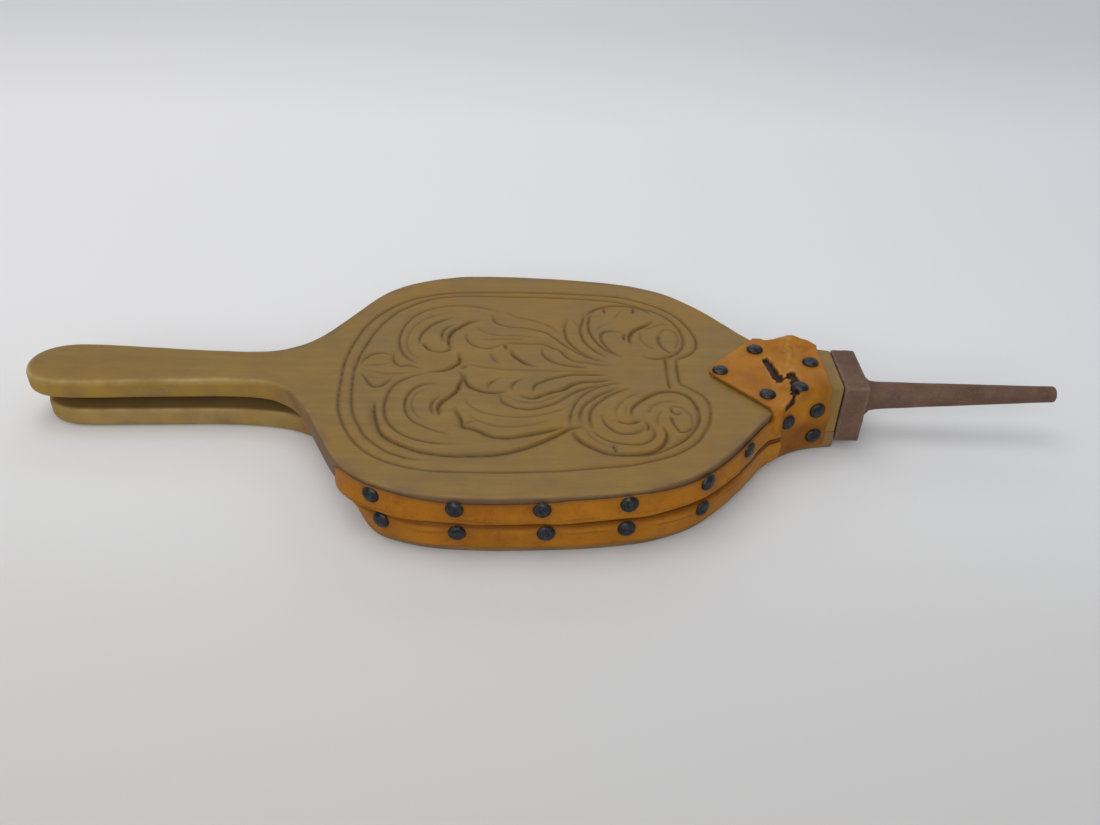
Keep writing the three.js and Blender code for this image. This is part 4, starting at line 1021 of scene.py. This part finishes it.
def build_nozzle():
    rise = math.atan(0.042)
    x0 = 153.0
    s_tip = (270 - x0 - 3.9 * math.sin(rise)) / math.cos(rise)
    # flange: a box with soft, rusted edges
    hx, hy, z0, z1 = 6.5, 18.8, 4.7, 38.3
    cx, cz, hz = x0 + 6.5, (z0 + z1) / 2, (z1 - z0) / 2

    def spaced(h, k):
        e = np.array([0, 0.25, 0.6, 1.1, 1.9])
        inner = np.linspace(-h + 1.9, h - 1.9, k)[1:-1]
        return np.concatenate([-h + e, inner, (h - e)[::-1]])

    ax_, ay_, az_ = spaced(hx, 6), spaced(hy, 16), spaced(hz, 15)
    verts, quads = [], []
    base = 0
    rnd3 = waves2(71, 5, 18)
    rnd4 = waves2(72, 1.8, 6)
    for axis in range(3):
        for sign in (-1, 1):
            u, v_ = [(ay_, az_), (ax_, az_), (ax_, ay_)][axis]
            U, W = np.meshgrid(u, v_, indexing="ij")
            C = np.full(U.shape, sign * [hx, hy, hz][axis])
            P = [np.stack([C, U, W], -1), np.stack([U, C, W], -1), np.stack([U, W, C], -1)][axis]
            q = grid_faces(len(u), len(v_), base=base)
            flip = (sign < 0) if axis != 1 else (sign > 0)
            quads.append(q[:, ::-1] if flip else q)
            verts.append(P.reshape(-1, 3))
            base += len(u) * len(v_)
    v = np.vstack(verts)
    q = np.vstack(quads)
    key = np.round(v, 3)
    _, first, inv = np.unique(key, axis=0, return_index=True, return_inverse=True)
    v, q = v[first], inv.ravel()[q]
    h = np.array([hx, hy, hz])
    rr = 1.15
    core = np.clip(v, -(h - rr), h - rr)
    dv = v - core
    ln = np.linalg.norm(dv, axis=1)
    moved = np.where(ln[:, None] > 1e-6, core + dv / np.maximum(ln, 1e-6)[:, None] * np.minimum(ln, rr)[:, None], v)
    pit = 0.10 * rnd3(moved[:, 1] + moved[:, 0], moved[:, 2] - moved[:, 0]) + 0.05 * rnd4(moved[:, 1] * 1.1 + moved[:, 0], moved[:, 2] + moved[:, 0])
    dirn = np.where(ln[:, None] > 1e-6, dv / np.maximum(ln, 1e-6)[:, None], 0)
    moved = moved + dirn * (pit[:, None] - 0.12)
    moved += np.array([cx, 0, cz])
    nv = len(moved)
    # hub and tube
    prof = [(11.0, 8.0), (11.2, 12.6), (11.2, 15.0), (10.9, 15.9), (10.3, 16.9), (9.4, 17.9), (8.5, 18.8), (8.0, 19.8), (7.7, 21.2), (7.45, 23), (7.3, 25)]
    for s in np.arange(30, s_tip - 2, 4.0):
        prof.append((float(np.interp(s, [24, 52, 80, 108, s_tip], [7.3, 6.3, 5.4, 4.45, 4.25])), float(s)))
    prof += [(4.3, s_tip - 1.6), (4.2, s_tip - 0.7), (3.95, s_tip - 0.15), (3.6, s_tip), (3.1, s_tip - 0.05), (2.8, s_tip - 0.3), (2.75, s_tip - 1.2), (2.8, s_tip - 6), (3.2, s_tip - 40)]
    seg = 56
    tv, tq, tt = lathe_mesh(prof, seg)
    k = np.hypot(tv[:, 0], tv[:, 1]) > 3.5
    a = np.arctan2(tv[:, 1], tv[:, 0])
    wob = 0.07 * waves2(73, 9, 34)(tv[:, 2], a * 9) + 0.035 * waves2(74, 3, 9)(tv[:, 2], a * 7)
    rad = np.maximum(np.hypot(tv[:, 0], tv[:, 1]), 1e-6)
    tv[:, :2] *= np.where(k, 1 + (wob - 0.03) / rad, 1)[:, None]
    d = np.array([math.cos(rise), 0, math.sin(rise)])
    M = frame_from_axis(d)
    tv = tv @ M.T + np.array([x0, 0, 20.9])
    verts = np.vstack([moved, tv])
    quads = np.vstack([q, tq + nv])
    # flange edges lighter: edge wear with a painted highlight
    flange_edge_wear_light = np.concatenate([np.clip((rr + 0.3 - np.abs(np.abs(v) - h).min(1)) / 1.5, 0, 1) * 0, np.zeros(len(tv))])
    near_edge = (np.sort(h[None] - np.abs(v), axis=1)[:, 1] < 1.5).astype(float)
    flange_edge_wear_light[:nv] = near_edge
    o = make_mesh("vis_nozzle", verts, quads, tt + nv, {"wear_and_highlight": flange_edge_wear_light}, sharp=40)
    o.data.materials.append(MATS["iron"])
    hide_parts("nozzle")
    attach(o, NODES["nozzle"]["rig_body"])
    return o


def build_block():
    """The nose block: block outline with eased edges, its rear top arris cut back."""
    half = smooth_block()
    xs = np.concatenate([[119.3, 119.45, 119.8, 120.4, 121.2], np.arange(122.5, 151.0, 1.6), [151.3, 151.9, 152.35, 152.6, 152.7]])
    w = np.interp(xs, half[:, 0], half[:, 1])
    z0 = 10.9
    zt = np.interp(xs, [119.3, 126.7, 153], [33.2, 38.2, 38.2])
    r = 1.6
    sec = []
    for i, x in enumerate(xs):
        endr = max(0.0, 1.2 - (152.7 - x))
        dd = 1.2 - math.sqrt(max(1.2 ** 2 - endr ** 2, 0))
        ww, tt = w[i] - dd, zt[i] - dd
        row = [(0, z0), (-ww + 4, z0)] + [(-ww, z) for z in np.linspace(z0, tt - r, 10)]
        for a in np.linspace(0, 90, 7)[1:]:
            row.append((-ww + r * (1 - math.cos(math.radians(a))), tt - r + r * math.sin(math.radians(a))))
        row += [(-ww * f, tt) for f in (0.7, 0.35)]
        row2 = [(-y, z) for y, z in row[::-1]][:-1]
        sec.append(row + [(0, tt)] + row2)
    g = np.array(sec)
    n, m = g.shape[:2]
    X = np.repeat(xs[:, None], m, 1)
    v = np.stack([X, g[:, :, 0], g[:, :, 1]], -1).reshape(-1, 3)
    q = grid_faces(n, m, closed=True)
    caps = []
    c0 = len(v)
    cent = np.array([[119.3, 0, 22], [152.7, 0, 22]])
    v = np.vstack([v, cent])
    tris = [(c0, (j + 1) % m, j) for j in range(m)] + [(c0 + 1, (n - 1) * m + j, (n - 1) * m + (j + 1) % m) for j in range(m)]
    # lighter at the front end: edge wear with a painted highlight
    o = make_mesh("vis_nose_block", v, q[:, ::-1], np.array(tris)[:, ::-1], {"painted_shade_and_dirt": np.zeros(len(v)), "cut": np.zeros(len(v)),
                  "wear_and_highlight": np.exp(-np.abs(152.7 - v[:, 0]) / 0.8) * 0.8, "rim": np.full(len(v), 0.15)}, sharp=40)
    o.data.materials.append(MATS["wood"])
    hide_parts("nose_block")
    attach(o, NODES["nose_block"]["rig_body"])
    return o


def smooth_block():
    return catmull(BLOCK_OUT, 0.5)


# ----------------------------------------------------------------- materials
class Nodes:
    def __init__(self, name):
        self.m = bpy.data.materials.new(name)
        self.m.use_nodes = True
        self.t = self.m.node_tree
        self.t.nodes.clear()
        self.out = self.t.nodes.new("ShaderNodeOutputMaterial")
        self.bsdf = self.t.nodes.new("ShaderNodeBsdfPrincipled")
        self.t.links.new(self.bsdf.outputs[0], self.out.inputs["Surface"])

    def put(self, node, key, value):
        s = node.inputs[key]
        if isinstance(value, bpy.types.NodeSocket):
            self.t.links.new(value, s)
        else:
            s.default_value = value

    def attr(self, name, kind="Fac"):
        n = self.t.nodes.new("ShaderNodeAttribute")
        n.attribute_name = name
        return n.outputs[kind]

    def coords(self):
        return self.t.nodes.new("ShaderNodeTexCoord").outputs["Object"]

    def scaled(self, vec, s, rot=(0, 0, 0)):
        n = self.t.nodes.new("ShaderNodeMapping")
        self.put(n, "Vector", vec)
        n.inputs["Scale"].default_value = s
        n.inputs["Rotation"].default_value = rot
        return n.outputs[0]

    def noise(self, vec, scale, detail=4, rough=0.55, distort=0.0):
        n = self.t.nodes.new("ShaderNodeTexNoise")
        self.put(n, "Vector", vec)
        self.put(n, "Scale", scale)
        self.put(n, "Detail", detail)
        self.put(n, "Roughness", rough)
        self.put(n, "Distortion", distort)
        return n.outputs["Fac"]

    def voronoi(self, vec, scale, feature="F1"):
        n = self.t.nodes.new("ShaderNodeTexVoronoi")
        n.feature = feature
        self.put(n, "Vector", vec)
        self.put(n, "Scale", scale)
        return n.outputs["Distance"]

    def ramp(self, fac, stops):
        n = self.t.nodes.new("ShaderNodeValToRGB")
        self.put(n, "Fac", fac)
        e = n.color_ramp.elements
        while len(e) < len(stops):
            e.new(0.5)
        for el, (pos, c) in zip(e, stops):
            el.position = pos
            el.color = (c, c, c, 1) if isinstance(c, (int, float)) else (*c, 1)
        return n.outputs["Color"]

    def mix(self, fac, a, b, blend="MIX"):
        n = self.t.nodes.new("ShaderNodeMix")
        n.data_type = "RGBA"
        n.blend_type = blend
        n.clamp_factor = True
        for key, val in ((0, fac), (6, a), (7, b)):
            s = n.inputs[key]
            if isinstance(val, bpy.types.NodeSocket):
                self.t.links.new(val, s)
            else:
                s.default_value = (*val, 1) if isinstance(val, tuple) and len(val) == 3 else val
        return n.outputs[2]

    def math(self, op, a, b=0.0, clamp=False):
        n = self.t.nodes.new("ShaderNodeMath")
        n.operation = op
        n.use_clamp = clamp
        for k, val in enumerate((a, b)):
            if isinstance(val, bpy.types.NodeSocket):
                self.t.links.new(val, n.inputs[k])
            else:
                n.inputs[k].default_value = val
        return n.outputs[0]

    def bump(self, height, strength, distance, normal=None):
        n = self.t.nodes.new("ShaderNodeBump")
        self.put(n, "Height", height)
        self.put(n, "Strength", strength)
        self.put(n, "Distance", distance)
        if normal is not None:
            self.t.links.new(normal, n.inputs["Normal"])
        return n.outputs[0]

    def finish(self, color, rough, normal=None, metal=0.0, spec=0.5):
        self.put(self.bsdf, "Base Color", color if isinstance(color, bpy.types.NodeSocket) else (*color, 1))
        self.put(self.bsdf, "Roughness", rough)
        self.put(self.bsdf, "Metallic", metal)
        self.put(self.bsdf, "Specular IOR Level", spec)
        if normal is not None:
            self.t.links.new(normal, self.bsdf.inputs["Normal"])
        return self.m


def wood_material(name, own):
    k = Nodes(name)
    co = k.attr("rest", "Vector") if own else k.coords()
    tone = k.noise(k.scaled(co, (7, 22, 30)), 1.0, 3, 0.5, 0.4)
    streak = k.noise(k.scaled(co, (9, 190, 190)), 1.0, 6, 0.62, 0.25)
    grain = k.noise(k.scaled(co, (70, 1500, 1500)), 1.0, 4, 0.6)
    mott = k.noise(co, 45, 4, 0.6)
    base = k.ramp(streak, [(0.25, (0.206, 0.126, 0.034)), (0.5, (0.240, 0.148, 0.040)), (0.77, (0.276, 0.174, 0.050))])
    warm = k.mix(k.ramp(tone, [(0.40, 0.0), (0.66, 0.9)]), base, (0.268, 0.146, 0.027))
    warm = k.mix(k.ramp(k.noise(k.scaled(co, (26, 60, 60)), 1.0, 4, 0.6, 0.5), [(0.54, 0.0), (0.70, 0.6)]), warm, (0.295, 0.158, 0.028))
    warm = k.mix(k.ramp(mott, [(0.35, 0.45), (0.6, 0.0)]), warm, (0.168, 0.108, 0.034))
    warm = k.mix(k.math("MULTIPLY", k.ramp(grain, [(0.45, 0.0), (0.7, 1.0)]), 0.26), warm, (0.145, 0.086, 0.025))
    if own:
        blotch = k.noise(co, 110, 3, 0.6)
        cut = k.attr("cut")
        painted_shade_and_dirt = k.attr("painted_shade_and_dirt")
        wear_and_highlight = k.attr("wear_and_highlight")
        rim = k.attr("rim")
        # darker the deeper the carving: painted shade in the hollows, with some dirt
        hollow_shade_and_dirt = k.math("MULTIPLY", k.math("MULTIPLY", cut, 0.55, True), k.ramp(blotch, [(0.3, 1.0), (0.7, 0.55)]), True)
        warm = k.mix(k.math("MULTIPLY", hollow_shade_and_dirt, 0.40), warm, (0.135, 0.080, 0.022))
        # painted shade and dirt: dark lines along the carved grooves, and shade on the lower handle's top under the
        # upper handle
        warm = k.mix(k.math("MULTIPLY", painted_shade_and_dirt, 0.72, True), warm, (0.066, 0.036, 0.011))
        rimc = k.math("MULTIPLY", rim, k.ramp(k.noise(k.scaled(co, (30, 90, 90)), 1.0, 3), [(0.42, 0.0), (0.62, 0.75)]), True)
        warm = k.mix(rimc, warm, (0.140, 0.078, 0.044))
        warm = k.mix(k.math("MULTIPLY", k.attr("wall"), k.ramp(mott, [(0.35, 1.0), (0.65, 0.62)])), warm, (0.118, 0.066, 0.038))
        warm = k.mix(k.math("MULTIPLY", k.attr("gripside"), k.ramp(mott, [(0.38, 0.15), (0.60, 0.95)])), warm, (0.292, 0.176, 0.024))
        # lighter along the arrises: painted highlight, with some edge wear
        wear_and_highlight_mix = k.math("MULTIPLY", wear_and_highlight, k.ramp(k.noise(co, 60, 4), [(0.36, 0.15), (0.62, 0.85)]), True)
        warm = k.mix(wear_and_highlight_mix, warm, (0.430, 0.310, 0.130))
    scratch = k.noise(k.scaled(co, (130, 900, 500), (0, 0, 0.6)), 1.0, 2, 0.5)
    warm = k.mix(k.ramp(scratch, [(0.72, 0.0), (0.80, 0.25)]), warm, (0.36, 0.26, 0.12))
    rough = k.ramp(mott, [(0.3, 0.50), (0.7, 0.64)])
    h = k.math("ADD", k.math("MULTIPLY", grain, 0.6), k.math("MULTIPLY", streak, 0.7))
    nrm = k.bump(h, 0.35, 0.00025)
    return k.finish(warm, rough, nrm, 0.0, 0.24)


def leather_material(name, own, inner=False):
    k = Nodes(name)
    co = k.attr("rest", "Vector") if own else k.coords()
    big = k.noise(co, 22, 4, 0.55, 0.3)
    mid = k.noise(co, 95, 5, 0.6, 0.2)
    fine = k.noise(co, 900, 3, 0.6)
    cells = k.voronoi(co, 1500)
    if inner:
        base = k.ramp(big, [(0.3, (0.16, 0.09, 0.04)), (0.7, (0.27, 0.17, 0.085))])
    else:
        base = k.ramp(big, [(0.28, (0.255, 0.080, 0.002)), (0.5, (0.345, 0.124, 0.003)), (0.74, (0.405, 0.165, 0.009))])
        base = k.mix(k.ramp(mid, [(0.30, 0.60), (0.50, 0.0)]), base, (0.200, 0.058, 0.002))
    base = k.mix(k.math("MULTIPLY", k.ramp(fine, [(0.4, 0.0), (0.7, 1.0)]), 0.22), base, (0.45, 0.205, 0.012) if not inner else (0.3, 0.2, 0.1))
    if own:
        crease_and_shade, cute, press, torn = k.attr("crease_and_shade"), k.attr("cutedge"), k.attr("press"), k.attr("torn")
        # painted shade in the fold, the creases and under edges, with some dirt and stains
        base = k.mix(k.math("MULTIPLY", crease_and_shade, 0.85), base, (0.080, 0.020, 0.004))
        base = k.mix(k.math("MULTIPLY", press, k.ramp(mid, [(0.3, 0.6), (0.7, 0.2)])), base, (0.13, 0.042, 0.006))
        base = k.mix(k.math("MULTIPLY", cute, 0.6), base, (0.20, 0.080, 0.016))
        base = k.mix(k.math("MULTIPLY", torn, k.ramp(mid, [(0.32, 0.25), (0.6, 0.8)])), base, (0.46, 0.235, 0.045))
        # painted shade inside the tears
        base = k.mix(k.attr("hole"), base, (0.028, 0.008, 0.005))
    rough = k.ramp(mid, [(0.3, 0.42), (0.7, 0.62)])
    h = k.math("ADD", k.math("MULTIPLY", cells, 0.5), k.math("MULTIPLY", mid, 1.2))
    nrm = k.bump(h, 0.35, 0.0004)
    return k.finish(base, rough, nrm, 0.0, 0.17)


def iron_material(name, own=True):
    k = Nodes(name)
    co = k.attr("rest", "Vector") if own else k.coords()
    big = k.noise(k.scaled(co, (1, 1, 1)), 60, 5, 0.62, 0.4)
    mid = k.noise(k.scaled(co, (0.5, 1.6, 1.6)), 230, 5, 0.65)
    fine = k.noise(co, 1400, 4, 0.7)
    c = k.ramp(big, [(0.30, (0.070, 0.040, 0.028)), (0.48, (0.125, 0.074, 0.054)), (0.62, (0.165, 0.092, 0.062)), (0.8, (0.20, 0.135, 0.108))])
    c = k.mix(k.ramp(mid, [(0.42, 0.0), (0.62, 0.65)]), c, (0.170, 0.078, 0.042))
    c = k.mix(k.ramp(fine, [(0.5, 0.0), (0.72, 0.5)]), c, (0.25, 0.165, 0.125))
    if own:
        # lighter edges: wear with a painted highlight
        c = k.mix(k.math("MULTIPLY", k.attr("wear_and_highlight"), k.ramp(mid, [(0.4, 0.1), (0.65, 0.6)])), c, (0.24, 0.18, 0.155))
    rough = k.ramp(mid, [(0.3, 0.62), (0.7, 0.86)])
    h = k.math("ADD", k.math("MULTIPLY", mid, 1.0), k.math("MULTIPLY", fine, 0.5))
    nrm = k.bump(h, 0.55, 0.0004)
    return k.finish(c, rough, nrm, 0.35, 0.4)


def tack_material():
    k = Nodes("tack_blued")
    co = k.coords()
    mid = k.noise(co, 420, 4, 0.6)
    fine = k.noise(co, 1700, 3, 0.6)
    c = k.ramp(mid, [(0.3, (0.012, 0.012, 0.013)), (0.5, (0.028, 0.029, 0.031)), (0.68, (0.055, 0.060, 0.066)), (0.82, (0.080, 0.055, 0.038))])
    rough = k.ramp(fine, [(0.3, 0.30), (0.7, 0.52)])
    nrm = k.bump(mid, 0.4, 0.0003)
    return k.finish(c, rough, nrm, 0.75, 0.5)


def screw_material():
    k = Nodes("screw_steel")
    co = k.coords()
    mid = k.noise(co, 500, 4, 0.6)
    c = k.ramp(mid, [(0.3, (0.14, 0.11, 0.09)), (0.7, (0.30, 0.28, 0.26))])
    return k.finish(c, k.ramp(mid, [(0.3, 0.35), (0.7, 0.6)]), k.bump(mid, 0.3, 0.0002), 0.85, 0.5)


def floor_material():
    k = Nodes("floor_paper")
    co = k.coords()
    n = k.noise(co, 3.0, 3, 0.5)
    sep = k.t.nodes.new("ShaderNodeSeparateXYZ")
    k.put(sep, "Vector", co)
    # painted light falloff: the floor is darker towards the camera and far away
    depth = k.math("ADD", k.math("MULTIPLY", sep.outputs["Y"], 0.5), 0.25)
    c = k.ramp(depth, [(0.13, (0.615, 0.605, 0.600)), (0.18, (0.680, 0.672, 0.670)), (0.215, (0.760, 0.758, 0.760)),
                       (0.31, (0.830, 0.832, 0.848)), (0.48, (0.860, 0.862, 0.880)), (0.66, (0.74, 0.745, 0.765))])
    c = k.mix(k.math("MULTIPLY", n, 0.05), c, (0.5, 0.5, 0.5))
    # painted light falloff across the floor: lighter on the left, darker on the right
    across = k.math("ADD", k.math("MULTIPLY", sep.outputs["X"], -0.22), 0.5)
    painted_light_across = k.ramp(across, [(0.40, (0.90, 0.915, 0.935)), (0.5, (0.965, 0.965, 0.970)), (0.60, (1.0, 0.99, 0.985))])
    c = k.mix(1.0, c, painted_light_across, "MULTIPLY")
    return k.finish(c, 0.85, None, 0.0, 0.15)


MATS = {
    "wood": wood_material("wood_board", True),
    "wood_cad": wood_material("wood_plain", False),
    "leather": leather_material("leather_tan", True),
    "inner": leather_material("leather_valve", False, True),
    "iron": iron_material("iron_rusted", True),
    "tack": tack_material(),
    "screw": screw_material(),
    "floor": floor_material(),
}

# ----------------------------------------------------------------- the parts
upper = build_upper()
upper.data.materials.append(MATS["wood"])
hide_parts("upper_board")
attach(upper, "upper")

lower = build_lower()
lower.data.materials.append(MATS["wood"])
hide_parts("lower_board")
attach(lower, "base")

build_block()
build_nozzle()
build_tacks()

side, side_w = build_side_leather()
side.data.materials.append(MATS["leather"])
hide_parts("side_leather")
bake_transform(side)

nose, nose_w = build_nose_leather()
nose.data.materials.append(MATS["leather"])
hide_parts("nose_leather")
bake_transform(nose)

for name, node in NODES.items():
    if node.hide_render:
        continue
    node.data.materials.clear()
    if name.startswith("valve_tack"):
        node.data.materials.append(MATS["tack"])
    elif name.startswith("valve"):
        node.data.materials.append(MATS["inner"])
    elif "screw" in name:
        node.data.materials.append(MATS["screw"])
    else:
        node.data.materials.append(MATS["wood_cad"])

# ------------------------------------------------------- floor, light, camera
bpy.ops.mesh.primitive_plane_add(size=8, location=(0, 0, -0.0003))
floor = bpy.context.object
floor.name = "floor"
floor.data.materials.append(MATS["floor"])

scene = bpy.context.scene
world = bpy.data.worlds.new("room")
scene.world = world
world.use_nodes = True
world.node_tree.nodes["Background"].inputs[0].default_value = (0.97, 0.985, 1.0, 1)
world.node_tree.nodes["Background"].inputs[1].default_value = 0.44


def area(name, loc, target, size, power, color=(1, 1, 1)):
    d = bpy.data.lights.new(name, "AREA")
    d.shape = "RECTANGLE"
    d.size, d.size_y = size
    d.energy = power
    d.color = color
    o = bpy.data.objects.new(name, d)
    o.location = loc
    o.rotation_mode = "QUATERNION"
    o.rotation_quaternion = (Vector(target) - Vector(loc)).to_track_quat("-Z", "Y")
    scene.collection.objects.link(o)
    return o


area("softbox_top", (-0.55, 0.35, 2.1), (0, 0, 0), (1.6, 1.4), 14, (1.0, 0.995, 0.985))
area("softbox_front", (-0.35, -1.8, 1.25), (0, 0, 0), (1.8, 1.2), 20, (1.0, 0.985, 0.96))
area("window_back", (0.3, 2.6, 1.5), (0, 0, 0), (2.4, 1.2), 9, (0.94, 0.97, 1.0))

scene.view_settings.view_transform = "Standard"
scene.view_settings.look = "None"
scene.view_settings.exposure = 0.0
scene.view_settings.gamma = 1.0

pitch, psi, rho = 0.6237736845, 0.0072165811, 0.0332622538
F = Vector((math.sin(psi) * math.cos(pitch), math.cos(psi) * math.cos(pitch), -math.sin(pitch)))
R = Vector((math.cos(psi), -math.sin(psi), 0))
U = R.cross(F)
R2 = math.cos(rho) * R + math.sin(rho) * U
U2 = -math.sin(rho) * R + math.cos(rho) * U
cam_data = bpy.data.cameras.new("photo_camera")
cam_data.lens = 32.06
cam_data.sensor_width = 36
cam_data.clip_start = 0.01
cam_data.clip_end = 50
cam = bpy.data.objects.new("photo_camera", cam_data)
scene.collection.objects.link(cam)
cam.matrix_world = Matrix(((R2.x, U2.x, -F.x, 0.000868), (R2.y, U2.y, -F.y, -0.429286), (R2.z, U2.z, -F.z, 0.313405), (0, 0, 0, 1)))
scene.camera = cam

bpy.context.view_layer.update()
